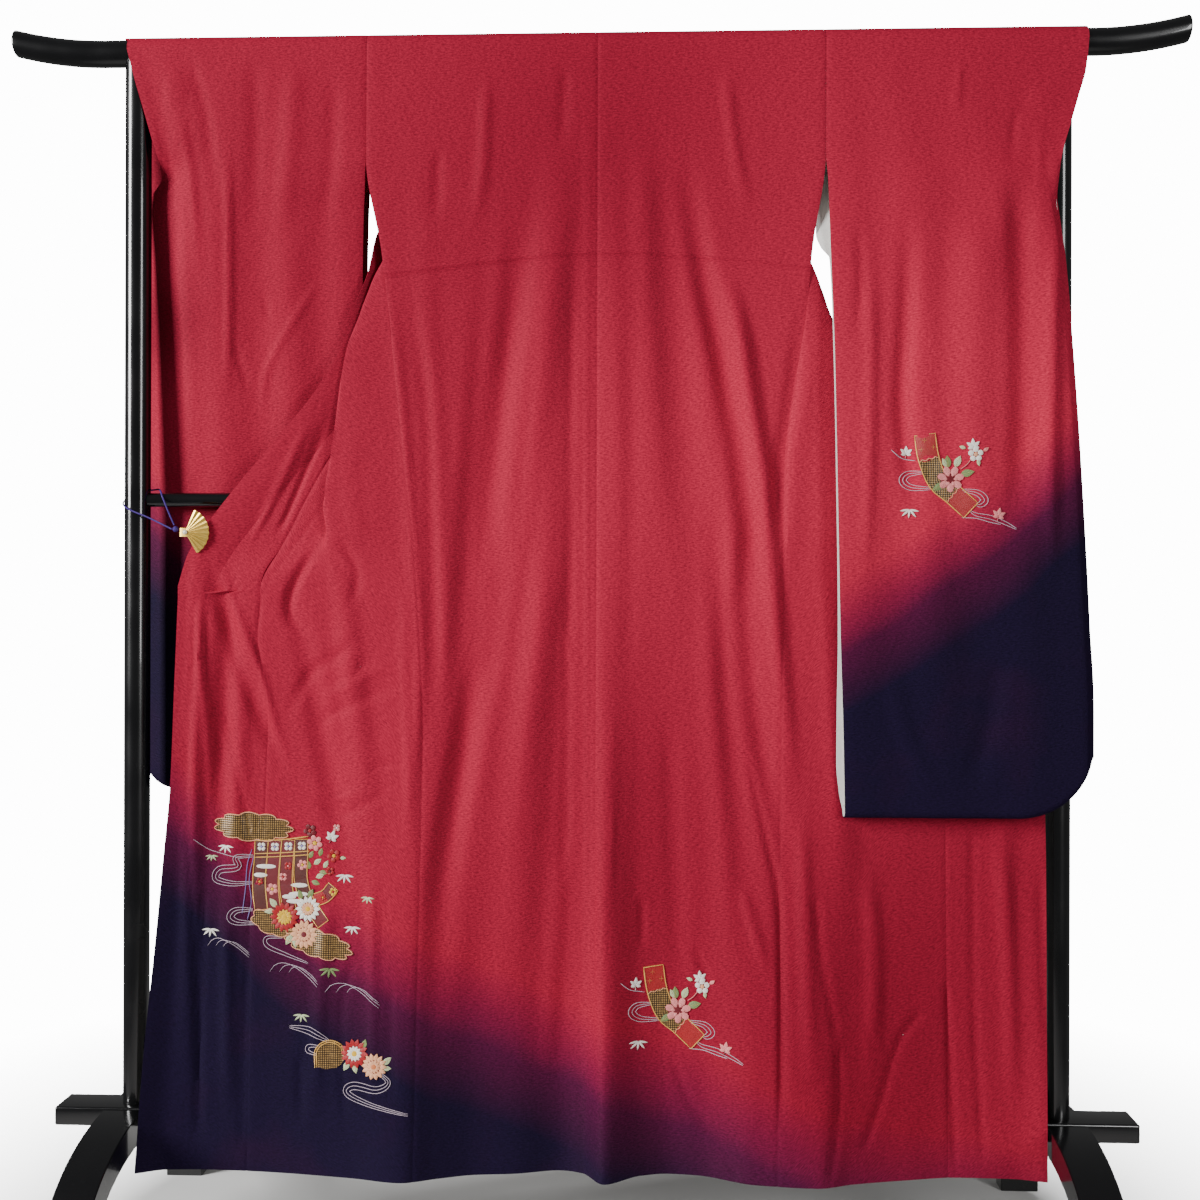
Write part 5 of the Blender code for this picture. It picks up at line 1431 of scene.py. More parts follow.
@dataclass(frozen=True)
class TopRod:
    """The top rod: a round bar whose two ends rise in a slow curve."""

    half: float = 0.821
    straight: float = 0.690
    lift: float = 0.017
    edge: float = 0.003
    sides: int = 48

    def build(self) -> bpy.types.Object:
        """Sweep the rod's round section along its curve."""
        rise = np.linspace(self.straight, self.half - self.edge, 22)
        ends = self.half - self.edge * (1.0 - np.sin(np.linspace(0.2, math.pi / 2.0, 5)))
        places = np.concatenate((np.linspace(0.0, self.straight, 12)[:-1], rise,
                                 ends[ends > rise[-1]]))
        places = np.concatenate((-places[:0:-1], places))
        over = np.clip((np.abs(places) - self.straight) / (self.half - self.straight), 0.0, None)
        past = np.clip((np.abs(places) - (self.half - self.edge)) / self.edge, 0.0, 1.0)
        radii = ROD_R - self.edge * (1.0 - np.sqrt(1.0 - past ** 2))
        lifts = ROD_Z + self.lift * over ** 2
        return turned_bar("top_rod_lacquer", places, radii, self.sides, lifts, "top_rod")


def primitive(name: str, make: Callable[..., set[str]], **options: object) -> bpy.types.Object:
    """Make one of the plain forms and give it its name."""
    bpy.ops.object.select_all(action="DESELECT")
    make(**options)
    item = bpy.context.active_object
    item.name = name
    return item


def turned_bar(name: str, places: np.ndarray, radii: np.ndarray, sides: int,
               lifts: np.ndarray, replaced: str) -> bpy.types.Object:
    """Skin rings along X from primitive circles, bridged ring to ring.

    Args:
        name: The object's name.
        places: Places of the rings along X.
        radii: A radius for each ring.
        sides: Corners in a ring.
        lifts: Height of each ring's middle.
        replaced: The solid that it takes the place of.

    Returns:
        The finished bar.
    """
    item = primitive(name, bpy.ops.mesh.primitive_circle_add, vertices=sides, radius=1.0,
                     fill_type="NGON")
    form = bmesh.new()
    rings = []
    for x, radius, z in zip(places, radii, lifts):
        turn = [2.0 * math.pi * (k + 0.5) / sides for k in range(sides)]
        rings.append([form.verts.new((x, radius * math.cos(a), z + radius * math.sin(a)))
                      for a in turn])
    for near, far in zip(rings[:-1], rings[1:]):
        for k in range(sides):
            follow = (k + 1) % sides
            form.faces.new((near[k], near[follow], far[follow], far[k]))
    form.faces.new(rings[0][::-1])
    form.faces.new(rings[-1])
    bmesh.ops.recalc_face_normals(form, faces=form.faces)
    form.to_mesh(item.data)
    form.free()
    return dress(item, LACQUER, (replaced,))


def dress(item: bpy.types.Object, finish: Finish, replaced: tuple[str, ...],
          angle: float = 35.0) -> bpy.types.Object:
    """Give a finished form its finish, soft shading and its place under the root body."""
    item.data.materials.clear()
    item.data.materials.append(finish.material())
    item.data.shade_smooth()
    item.data.set_sharp_from_angle(angle=math.radians(angle))
    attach(item, "root")
    if replaced:
        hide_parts(*replaced)
    return item


def mesh_item(name: str, points: np.ndarray, faces: list[list[int]]) -> bpy.types.Object:
    """Make an object from points and faces, with its normals turned out."""
    mesh = bpy.data.meshes.new(name)
    mesh.from_pydata([tuple(map(float, p)) for p in points], [], faces)
    form = bmesh.new()
    form.from_mesh(mesh)
    bmesh.ops.recalc_face_normals(form, faces=form.faces)
    form.to_mesh(mesh)
    form.free()
    return put_in_scene(name, mesh)


@dataclass(frozen=True)
class Posts:
    """The two upright posts, their heads hollowed to take the rod."""

    x: float = 0.644
    radius: float = 0.018
    foot: float = 0.1983
    joint: float = 0.0003
    sides: int = 48

    def build(self) -> None:
        """Build both posts."""
        for side in Side:
            item = primitive(f"post_{side.word}_lacquer", bpy.ops.mesh.primitive_cylinder_add,
                             vertices=self.sides, radius=self.radius, depth=1.0,
                             end_fill_type="NOTHING")
            form = bmesh.new()
            form.from_mesh(item.data)
            fit = ROD_R + self.joint
            for vert in form.verts:
                head = ROD_Z - math.sqrt(max(fit * fit - vert.co.y ** 2, 0.0))
                vert.co.z = head if vert.co.z > 0.0 else self.foot
                vert.co.x += side.value * self.x
            bmesh.ops.holes_fill(form, edges=form.edges, sides=self.sides)
            form.to_mesh(item.data)
            form.free()
            dress(item, LACQUER, (f"post_{side.word}",))


@dataclass(frozen=True)
class MiddleRail:
    """The thin rail across the posts, its ends hollowed to meet them."""

    z: float = 1.050
    radius: float = 0.010
    sides: int = 32

    def build(self, posts: Posts) -> None:
        """Build the rail between the posts."""
        item = primitive("mid_rail_lacquer", bpy.ops.mesh.primitive_cylinder_add,
                         vertices=self.sides, radius=self.radius, depth=1.0,
                         end_fill_type="NOTHING")
        form = bmesh.new()
        form.from_mesh(item.data)
        fit = posts.radius + posts.joint
        for vert in form.verts:
            across, up, end = vert.co.x, vert.co.y, vert.co.z
            reach = posts.x - math.sqrt(fit * fit - across * across)
            vert.co = (math.copysign(reach, end), across, self.z + up)
        bmesh.ops.holes_fill(form, edges=form.edges, sides=self.sides)
        bmesh.ops.recalc_face_normals(form, faces=form.faces)
        form.to_mesh(item.data)
        form.free()
        dress(item, LACQUER, ("mid_rail",))


@dataclass(frozen=True)
class BaseRail:
    """The flat base rail with eased edges, let into both feet."""

    half: float = 0.750
    deep: float = 0.0285
    low: float = 0.172
    high: float = 0.198
    bevel: float = 0.003

    def build(self) -> None:
        """Build the rail as a bevelled box."""
        item = primitive("base_rail_lacquer", bpy.ops.mesh.primitive_cube_add, size=1.0)
        for vert in item.data.vertices:
            vert.co.x *= 2.0 * self.half
            vert.co.y *= 2.0 * self.deep
            vert.co.z = (self.low + self.high) / 2.0 + vert.co.z * (self.high - self.low)
        bpy.ops.object.mode_set(mode="EDIT")
        bpy.ops.mesh.select_all(action="SELECT")
        bpy.ops.mesh.bevel(offset=self.bevel, segments=4, profile=0.5, affect="EDGES")
        bpy.ops.object.mode_set(mode="OBJECT")
        dress(item, LACQUER, ("base_rail",), 50.0)


@dataclass(frozen=True)
class Feet:
    """The two arched foot boards, notched for the base rail."""

    inner_x: float = 0.624
    outer_x: float = 0.680
    half: float = 0.270
    high: float = 0.196
    arch_half: float = 0.236
    arch_high: float = 0.156
    power: float = 2.3
    joint: float = 0.0003
    ease: float = 0.0012

    def arch(self, half: float, high: float, count: int, stop: float) -> list[tuple[float, float]]:
        """Return one side of an arch in Y and Z, from the floor up to its stop in Y."""
        places = []
        last = math.acos(min(1.0, (stop / half) ** (self.power / 2.0)))
        for k in range(count + 1):
            angle = last * k / count
            y = half * math.cos(angle) ** (2.0 / self.power)
            z = high * math.sin(angle) ** (2.0 / self.power) if k else 0.0
            places.append((y, z))
        return places

    def build(self, rail: BaseRail) -> None:
        """Build both feet as eased boards sawn to the arch."""
        notch = rail.deep + self.joint
        floor = rail.low - self.joint
        outer = self.arch(self.half, self.high, 30, notch)
        inner = self.arch(self.arch_half, self.arch_high, 30, 0.0)
        right = outer + [(notch, floor)]
        ring = right + [(-y, z) for y, z in reversed(right)]
        ring += [(-y, z) for y, z in inner] + list(reversed(inner))[1:]
        for side in Side:
            form = bmesh.new()
            verts = [form.verts.new((side.value * self.inner_x, y, z)) for y, z in ring]
            face = form.faces.new(verts)
            made = bmesh.ops.extrude_face_region(form, geom=[face])["geom"]
            moved = [g for g in made if isinstance(g, bmesh.types.BMVert)]
            bmesh.ops.translate(form, verts=moved,
                                vec=(side.value * (self.outer_x - self.inner_x), 0.0, 0.0))
            bmesh.ops.recalc_face_normals(form, faces=form.faces)
            sharp = [e for e in form.edges if e.calc_face_angle(0.0) > math.radians(60.0)
                     and max(v.co.z for v in e.verts) > 0.001]
            bmesh.ops.bevel(form, geom=sharp, offset=self.ease, segments=2, affect="EDGES",
                            clamp_overlap=True)
            mesh = bpy.data.meshes.new(f"foot_{side.word}_lacquer")
            form.to_mesh(mesh)
            form.free()
            dress(put_in_scene(mesh.name, mesh), LACQUER, (f"foot_{side.word}",))


def tube_along(name: str, corners: list[np.ndarray], radius: float, steps: int,
               sides: int = 12) -> bpy.types.Object:
    """Skin a round cord along a smooth open path, with its UV along the lay."""
    path = along(np.array(corners)[None], np.linspace(0.0, len(corners) - 1.0, steps + 1))[0]
    ahead = np.gradient(path, axis=0)
    ahead /= np.linalg.norm(ahead, axis=1)[:, None]
    across = np.cross(ahead, (0.0, 0.0, 1.0))
    across /= np.linalg.norm(across, axis=1)[:, None]
    rise = np.cross(across, ahead)
    turn = (np.arange(sides) + 0.5) * 2.0 * math.pi / sides
    rings = (path[:, None] + radius * (across[:, None] * np.cos(turn)[None, :, None]
                                       + rise[:, None] * np.sin(turn)[None, :, None]))
    faces = [[r * sides + k, r * sides + (k + 1) % sides, (r + 1) * sides + (k + 1) % sides,
              (r + 1) * sides + k] for r in range(steps) for k in range(sides)]
    faces.append(list(range(sides))[::-1])
    faces.append([steps * sides + k for k in range(sides)])
    item = mesh_item(name, rings.reshape(-1, 3), faces)
    far = np.concatenate(((0.0,), np.cumsum(np.linalg.norm(np.diff(path, axis=0), axis=1))))
    layer = item.data.uv_layers.new(name="cloth")
    for loop in item.data.loops:
        ring, corner = divmod(loop.vertex_index, sides)
        layer.data[loop.index].uv = (far[ring], far[ring] + CORD_PITCH * corner / sides)
    return item


@dataclass(frozen=True)
class FanClip:
    """One fan-shaped clip, its knot and its cord round the post."""

    side: Side
    radius: float = 0.034
    rings: tuple[float, ...] = (0.0040, 0.0105, 0.0115, 0.0150, 0.0190, 0.0235, 0.0280, 0.0325,
                                0.034)
    ribs: int = 10
    spread: float = math.radians(128.0)
    lean: float = math.radians(4.0)
    thick: float = 0.0014
    # How high the ribs stand, the radius where they reach it, and the cut between two teeth.
    pleat: float = 0.0011
    full: float = 0.020
    tooth: float = 0.0012
    place: tuple[float, float, float] = (-0.566, -0.0303, 1.003)
    cloth_depth: float = 0.0264
    half_gap: float = 0.0023
    jaw: tuple[float, ...] = (0.030, 0.012, 0.002)
    jaw_half: float = 0.0005
    tail: float = 0.0090
    half_wide: float = 0.006
    cord_radius: float = 0.0012
    knot_radius: float = 0.0042
    bead_radius: float = 0.0034
    # Height where the cord meets the post, and its play round the post.
    cord_z: float = 1.033
    play: float = 0.0007

    def pivot(self) -> np.ndarray:
        """Return the place of the rivet."""
        x = float(to_side(np.array(self.place[0] / MM), np.array(self.place[2]), self.side)) * MM
        return np.array((x, self.place[1], self.place[2]))

    def shell(self, name: str, grid: np.ndarray, half: float, replaced: str) -> None:
        """Thicken a grid of metal and give it the gilt finish."""
        rows, columns = grid.shape[:2]
        across = np.gradient(grid, axis=1)
        down = np.gradient(grid, axis=0)
        normals = np.cross(across, down)
        normals /= np.linalg.norm(normals, axis=2)[..., None]
        both = np.concatenate(((grid + normals * half).reshape(-1, 3),
                               (grid - normals * half).reshape(-1, 3)))
        ids = np.arange(rows * columns).reshape(rows, columns)
        faces = quads(ids).tolist()
        count = rows * columns
        faces += [[v + count for v in reversed(f)] for f in faces]
        rim = (list(ids[0]) + list(ids[1:, -1]) + list(ids[-1, -2::-1]) + list(ids[-2:0:-1, 0]))
        for k, first in enumerate(rim):
            follow = rim[(k + 1) % len(rim)]
            faces.append([int(first), int(follow), int(follow) + count, int(first) + count])
        dress(mesh_item(name, both, faces), GILT, (replaced,), 30.0)

    def leaf(self, pivot: np.ndarray) -> None:
        """Build the pleated fan, each rib pressed to a rounded crest."""
        fine = 6
        count = self.ribs * 2
        lean = self.lean if self.side is Side.LEFT else math.pi - self.lean
        share = np.linspace(0.0, count, count * fine + 1)
        crest = (1.0 - np.cos(share * math.pi)) / 2.0
        angle = lean + self.spread * (0.5 - share / count)
        rows = []
        for radius in self.rings:
            swell = self.pleat * crest * min(1.0, radius / self.full)
            cut = self.tooth * (1.0 - crest) ** 2 if radius == self.rings[-1] else 0.0
            reach = radius - cut
            rows.append(np.stack((reach * np.cos(angle), -swell, reach * np.sin(angle)), axis=-1))
        self.shell(f"fan_{self.side.word}_gilt", pivot + np.array(rows), self.thick / 2.0,
                   f"fan_{self.side.word}")

    def grip(self, pivot: np.ndarray) -> None:
        """Build the bent strip that holds the cloth's edge."""
        depths = (self.cloth_depth - self.half_gap, self.cloth_depth + self.half_gap)
        profile = [(x, depths[0]) for x in self.jaw] + [(-self.tail, self.cloth_depth)]
        profile += [(x, depths[1]) for x in reversed(self.jaw)]
        line = along(np.array(profile)[None], np.linspace(0.0, len(profile) - 1.0, 37))[0]
        z = pivot[2] + np.linspace(-self.half_wide, self.half_wide, 5)
        grid = np.stack(np.broadcast_arrays(pivot[0] - self.side.value * line[None, :, 0],
                                            -line[None, :, 1], z[:, None]), axis=-1)
        word = self.side.word
        self.shell(f"jaw_{word}_gilt", grid, self.jaw_half, f"jaw_{word}")

    def ball(self, name: str, centre: np.ndarray, radius: float, squash: float,
             finish: Finish, replaced: str) -> None:
        """Build a small round body from a primitive sphere."""
        item = primitive(name, bpy.ops.mesh.primitive_uv_sphere_add, segments=28, ring_count=16,
                         radius=radius)
        for vert in item.data.vertices:
            vert.co.y *= squash
            vert.co += Vector(centre)
        dress(item, finish, (replaced,), 80.0)

    def cord_path(self, knot: np.ndarray, post: float) -> list[np.ndarray]:
        """Return the cord's way from the knot round the post and rail and back."""
        side = self.side.value
        wrap = Posts.radius + self.play + self.cord_radius
        over_rail = MiddleRail.radius + self.cord_radius
        rail_z = MiddleRail.z
        start = knot + np.array((side * (self.knot_radius + 0.0009), -0.0012, 0.0))
        end = knot + np.array((side * 0.0022, 0.0010, self.knot_radius + 0.0012))
        path = [start, np.array((post - side * 0.024, -wrap - 0.0030, self.cord_z - 0.0095))]
        for k, degrees in enumerate((-90, -45, 0, 45, 90)):
            angle = math.radians(degrees)
            path.append(np.array((post + side * wrap * math.cos(angle), wrap * math.sin(angle),
                                  self.cord_z + 0.0075 * k)))
        path.append(np.array((post - side * 0.0195, wrap * 0.72, rail_z + 0.0155)))
        path.append(np.array((post - side * 0.031, 0.0015, rail_z + over_rail + 0.0030)))
        path.append(np.array((post - side * 0.040, -over_rail - 0.0016, rail_z + 0.003)))
        path.append(path[-1] * 0.45 + end * 0.55 + np.array((0.0, -0.0015, 0.0)))
        path.append(end)
        return path

    def build(self) -> None:
        """Build the clip with its bead, knot and cord."""
        word, pivot = self.side.word, self.pivot()
        self.leaf(pivot)
        self.grip(pivot)
        self.ball(f"pivot_{word}_pearl", pivot + np.array((0.0, -0.0012, 0.0)), self.bead_radius,
                  0.6, PEARL, f"pivot_{word}")
        knot = pivot + np.array((self.side.value * (self.tail + self.knot_radius + 0.0016),
                                 0.0038, 0.0045))
        self.ball(f"knot_{word}_silk", knot, self.knot_radius, 0.9, CORD_SILK,
                  f"knot_{word}")
        cord = tube_along(f"cord_{word}_silk", self.cord_path(knot, self.side.value * Posts.x),
                          self.cord_radius, 150)
        dress(cord, CORD_SILK, (f"cord_{word}",), 60.0)


class Floss(Enum):
    """Embroidery threads.  Each value is the thread's finish."""

    GOLD = Thread("gold_couching_thread", "#ffcb6e", roughness=0.36, metallic=0.15,
                  shadow="#a8702a")
    BASKET = Thread("gold_basket_couching", "#c49a5c", roughness=0.40, metallic=0.20,
                    shadow="#2c1a08", pitch=0.0030, woven=True)
    PEACH = Thread("peach_silk_floss", "#ffbd90", shadow="#b06840")
    ORANGE = Thread("orange_silk_floss", "#f08a50", shadow="#8e3c18")
    YELLOW = Thread("yellow_silk_floss", "#f5c52c", shadow="#96660c")
    WHITE = Thread("white_silk_floss", "#fffaf0", shadow="#b4aea4")
    PINK = Thread("pink_silk_floss", "#fa9a96", shadow="#a84450")
    RED = Thread("red_silk_floss", "#b8101a", shadow="#5c060a")
    WINE = Thread("wine_silk_floss", "#7a0c1c", shadow="#34040a")
    BROWN = Thread("red_brown_silk_floss", "#5e1a12", shadow="#220806")
    GREEN = Thread("green_silk_floss", "#8aa061", shadow="#36442a")
    PALE = Thread("pale_green_silk_floss", "#cfdcae", shadow="#6a7850")
    LAVENDER = Thread("lavender_silk_cord", "#9a8ccc", shadow="#463c74")
    MIST = Thread("mist_grey_silk_cord", "#dccbd8", shadow="#74606e")


def lens(length: float, width: float, start: float = 0.0, count: int = 6) -> np.ndarray:
    """Return a pointed leaf's outline along +X, in millimetres."""
    t = np.linspace(0.0, 1.0, count)
    upper = np.stack((start + t * length, width / 2.0 * np.sin(math.pi * t ** 0.85)), axis=-1)
    return np.concatenate((upper, upper[-2:0:-1] * (1.0, -1.0)))


def lobed(across: float, high: float, lobes: int, depth: float, steps: int = 6) -> np.ndarray:
    """Return an outline with rounded lobes round its middle, in millimetres."""
    turn = np.arange(lobes * steps) * 2.0 * math.pi / (lobes * steps)
    reach = 1.0 - depth * (1.0 - np.abs(np.cos(lobes * turn / 2.0)))
    return np.stack((across * reach * np.cos(turn), high * reach * np.sin(turn)), axis=-1)


def turned(outline: np.ndarray, x: float, z: float, degrees: float = 0.0) -> np.ndarray:
    """Return an outline turned and moved to its place, in millimetres."""
    a = math.radians(degrees)
    spin = np.array(((math.cos(a), math.sin(a)), (-math.sin(a), math.cos(a))))
    return outline @ spin + (x, z)


def curve(corners: Rows, steps: int = 6) -> np.ndarray:
    """Return a smooth line through corners, in millimetres."""
    line = np.array(corners, dtype=float)
    return along(line[None], np.linspace(0.0, len(line) - 1.0, steps * (len(line) - 1) + 1))[0]


def beside(path: np.ndarray) -> np.ndarray:
    """Return the direction across a path at each of its points."""
    ahead = np.gradient(path, axis=0)
    ahead /= np.maximum(np.linalg.norm(ahead, axis=1), 1e-9)[:, None]
    return np.stack((-ahead[:, 1], ahead[:, 0]), axis=-1)


class Needlework:
    """Raised embroidery, worked on the finished cloth and gathered thread by thread."""

    # Ring spacing of a filled shape, how far the first stitches stand off the cloth, and
    # how far a rim goes into it, in millimetres.
    RING = 5.0
    BASE = 0.3
    UNDER = -0.3

    def __init__(self, name: str, cloths: list[ClothPiece], x: float, z: float) -> None:
        """Take the cloth under the needle and the design's own origin, in millimetres."""
        self.name = name
        self.trees = [BVHTree.FromPolygons(c.points.tolist(), c.faces) for c in cloths]
        self.origin = (x, z)
        self.base = self.BASE
        self.points: dict[Floss, list[np.ndarray]] = {}
        self.faces: dict[Floss, list[list[int]]] = {}
        self.layers: dict[Floss, list[np.ndarray]] = {}

    def on_cloth(self, places: np.ndarray, lifts: np.ndarray) -> np.ndarray:
        """Return points lifted from the camera's side of the cloth.

        Args:
            places: Places along X and heights from the origin, in millimetres.
            lifts: How far each stands off the cloth, in millimetres.
        """
        placed = []
        for (x, z), lift in zip((places + self.origin) * MM, lifts * MM):
            hits = [tree.ray_cast(Vector((x, -1.0, z)), Vector((0.0, 1.0, 0.0)))
                    for tree in self.trees]
            hits = [hit for hit in hits if hit[0] is not None]
            if not hits:
                raise ValueError(f"{self.name}: no cloth at {x:.3f}, {z:.3f}")
            near = min(hits, key=lambda hit: hit[0].y)
            placed.append(tuple(near[0] + (near[1] if near[1].y < 0.0 else -near[1]) * lift))
        return np.array(placed)

    def add(self, floss: Floss, places: np.ndarray, lifts: np.ndarray, faces: list[list[int]],
            lay: np.ndarray) -> None:
        """Keep one worked shape."""
        kept = self.points.setdefault(floss, [])
        start = sum(len(p) for p in kept)
        kept.append(self.on_cloth(places, lifts))
        self.layers.setdefault(floss, []).append(lay * MM)
        self.faces.setdefault(floss, []).extend([[v + start for v in f] for f in faces])

    def patch(self, floss: Floss, outline: np.ndarray, high: float = 0.6,
              grain: float = 0.0) -> None:
        """Fill an outline with laid floss, full in the middle and low at the rim.

        Args:
            floss: The thread.
            outline: Closed outline in millimetres.
            high: How far its middle stands above the rim, in millimetres.
            grain: Direction of the stitches in degrees.
        """
        count = len(outline)
        middle = outline.mean(axis=0)
        reach = np.linalg.norm(outline - middle, axis=1).max()
        shares = np.linspace(0.0, 1.0, max(3, math.ceil(reach / self.RING)) + 1)[1:]
        rings = [middle + (outline - middle) * s for s in shares] + [outline]
        lifts = [self.base + high * (1.0 - s ** 4) for s in shares] + [self.UNDER]
        # Every other ring comes back just inside the cloth, so that the patch follows each crease.
        inner = [middle + (outline - middle) * s for s in shares[-2::-2]]
        rings += inner
        faces = [[0, 1 + k, 1 + (k + 1) % count] for k in range(count)]
        for ring in range(len(rings) - 1):
            a, b = 1 + ring * count, 1 + (ring + 1) * count
            faces += [[a + k, b + k, b + (k + 1) % count, a + (k + 1) % count]
                      for k in range(count)]
        core = 1 + len(rings) * count
        faces += [[core, core - count + (k + 1) % count, core - count + k] for k in range(count)]
        every = np.concatenate([middle[None]] + rings + [middle[None]])
        lifts = np.concatenate(([self.base + high], np.repeat(lifts, count),
                                np.full(count * len(inner) + 1, self.UNDER)))
        self.add(floss, every, lifts, faces, turned(every - middle, 0.0, 0.0, -grain))

    def line(self, floss: Floss, path: np.ndarray, width: float = 1.2, high: float = 0.5) -> None:
        """Couch a thread along a path, thinner at both ends."""
        count = len(path)
        taper = np.minimum(1.0, 0.4 + 0.6 * np.minimum(np.arange(count), np.arange(count)[::-1]))
        offsets = np.array((-0.5, -0.24, 0.24, 0.5)) * width
        rows = path[:, None] + (beside(path) * taper[:, None])[:, None] * offsets[None, :, None]
        top = self.base + high
        faces = [[4 * k + j, 4 * k + 4 + j, 4 * k + 4 + (j + 1) % 4, 4 * k + (j + 1) % 4]
                 for k in range(count - 1) for j in range(4)]
        faces += [[3, 2, 1, 0], [4 * count - 4 + j for j in range(4)]]
        far = np.concatenate(((0.0,), np.cumsum(np.linalg.norm(np.diff(path, axis=0), axis=1))))
        lay = np.stack((np.tile(offsets, count), np.repeat(far, 4)), axis=-1)
        self.add(floss, rows.reshape(-1, 2), np.tile((self.UNDER, top, top, self.UNDER), count),
                 faces, lay)

    def ring(self, floss: Floss, x: float, z: float, near: float, length: float, width: float,
             petals: int, turn: float = 0.0) -> None:
        """Work petals or leaves that spread from one point.

        Args:
            floss: The thread.
            x: Place of the point along X, in millimetres.
            z: Its height.
            near: How far from it the petals begin.
            length: Length of a petal.
            width: Width of a petal.
            petals: How many go round.
            turn: Direction of the first in degrees.
        """
        for k in range(petals):
            at = turn + 360.0 * k / petals
            self.patch(floss, turned(lens(length, width, near), x, z, at), 0.5, at)

    def bloom(self, x: float, z: float, radius: float, petals: int, floss: Floss,
              heart: Floss, turn: float = 0.0) -> None:
        """Work a flower of rounded petals with a small heart."""
        for k in range(petals):
            at = turn + 360.0 * k / petals
            petal = lobed(radius * 0.36, radius * 2.0 / petals, 2, 0.10, 4) + (radius * 0.62, 0.0)
            self.patch(floss, turned(petal, x, z, at), 0.6, at)
        self.base += 0.4
        self.patch(heart, turned(lobed(radius * 0.26, radius * 0.26, 5, 0.1, 2), x, z), 0.4)
        self.base -= 0.4

    def chrysanthemum(self, x: float, z: float, radius: float, outer: Floss, inner: Floss,
                      heart: Floss) -> None:
        """Work a chrysanthemum: a dark wine ground that shows as painted shade between the petals,
        two rings of petals and a heart.
        """
        # Painted shade: a dark wine ground under the petals shows in the gaps between them.
        self.patch(Floss.WINE, turned(lobed(radius * 0.8, radius * 0.8, 8, 0.05, 2), x, z), 0.2)
        self.base += 0.3
        self.ring(outer, x, z, radius * 0.42, radius * 0.58, radius * 0.33, 14)
        self.base += 0.4
        self.ring(inner, x, z, radius * 0.12, radius * 0.42, radius * 0.24, 12, 10.0)
        self.base += 0.3
        self.patch(heart, turned(lobed(radius * 0.2, radius * 0.2, 6, 0.06, 2), x, z), 0.4)
        self.base -= 1.0

    def spray(self, x: float, z: float, size: float, floss: Floss) -> None:
        """Work five bamboo leaves that hang spread from one point."""
        for at, share in ((-172, 0.9), (-140, 0.95), (-98, 0.8), (-52, 0.9), (-12, 0.85)):
            self.patch(floss, turned(lens(size * share, size * 0.20), x, z, at), 0.4, at)

    def leaf(self, x: float, z: float, length: float, turn: float, floss: Floss) -> None:
        """Work one broad leaf with a gold vein."""
        self.patch(floss, turned(lens(length, length * 0.55), x, z, turn), 0.5, turn + 35.0)
        self.base += 0.5
        self.line(Floss.GOLD, turned(np.array(((1.0, 0.0), (length * 0.9, 0.0))), x, z, turn), 0.7,
                  0.2)
        self.base -= 0.5

    def maple(self, x: float, z: float, size: float, turn: float, floss: Floss) -> None:
        """Work a maple leaf of five pointed lobes and its stalk."""
        for at, share in ((0, 1.0), (52, 0.9), (-52, 0.9), (104, 0.65), (-104, 0.65)):
            at += turn
            self.patch(floss, turned(lens(size * share, size * 0.42), x, z, at), 0.5, at)
        self.line(floss, turned(np.array(((0.0, 0.0), (-size * 0.6, 0.6))), x, z, turn), 0.8, 0.3)

    def stream(self, floss: Floss, strands: int, *corners: tuple[float, float]) -> None:
        """Couch several strands side by side as running water, close at both ends."""
        path = curve(corners)
        side = beside(path) * (0.3 + 0.7 * np.sin(np.linspace(0.0, math.pi, len(path))))[:, None]
        for k in range(strands):
            self.line(floss, path + side * 5.0 * (k - (strands - 1) / 2.0), 1.0, 0.4)

    def mound(self, x: float, z: float, wide: float, high: float) -> None:
        """Couch low hills whose long slopes run down to the right."""
        t = np.linspace(0.0, 1.0, 13)
        for shift, size in ((0.0, 1.0), (0.20, 0.82), (0.40, 0.6)):
            hill = high * (1.3 * np.sin(math.pi * t ** 0.7) - 1.3 * t) * size
            ridge = np.stack((x + wide * (shift + t * size), z + hill), axis=-1)
            self.line(Floss.MIST, ridge, 0.9, 0.3)

    def cloud(self, x: float, z: float, wide: float, high: float, bumps: int, turn: float) -> None:
        """Work a scalloped cloud in basket couching, edged with cord."""
        outline = turned(lobed(wide, high, bumps, 0.16, 6), x, z, turn)
        self.patch(Floss.BASKET, outline, 0.4)
        self.line(Floss.PEACH, np.concatenate((outline, outline[:2])), 1.8, 0.9)

    def band(self, flosses: tuple[Floss, ...], spine: np.ndarray, half: float) -> None:
        """Work a breadth of ribbon along its spine, four points to a thread, edged in gold."""
        side = beside(spine) * half
        for k, floss in enumerate(flosses):
            cut = slice(4 * k, 4 * k + 5)
            outline = np.concatenate(((spine + side)[cut], (spine - side)[cut][::-1]))
            self.patch(floss, outline, 0.3, 90.0)
        self.base += 0.1
        rim = np.concatenate((spine + side, (spine - side)[::-1], (spine + side)[:1]))
        self.line(Floss.GOLD, rim, 1.7, 0.6)
        self.base -= 0.1

    def finish(self) -> list[bpy.types.Object]:
        """Make one object of each thread.

        Returns:
            The objects.
        """
        items = []
        for floss, faces in self.faces.items():
            item = mesh_item(f"{self.name}_{floss.name.lower()}",
                             np.concatenate(self.points[floss]), faces)
            lay_uv(item.data, np.concatenate(self.layers[floss]))
            dress(item, floss.value, (),
                  50.0)
            items.append(item)
        LOG.info("%s: %d threads, %d faces", self.name, len(items),
                 sum(len(faces) for faces in self.faces.values()))
        return items


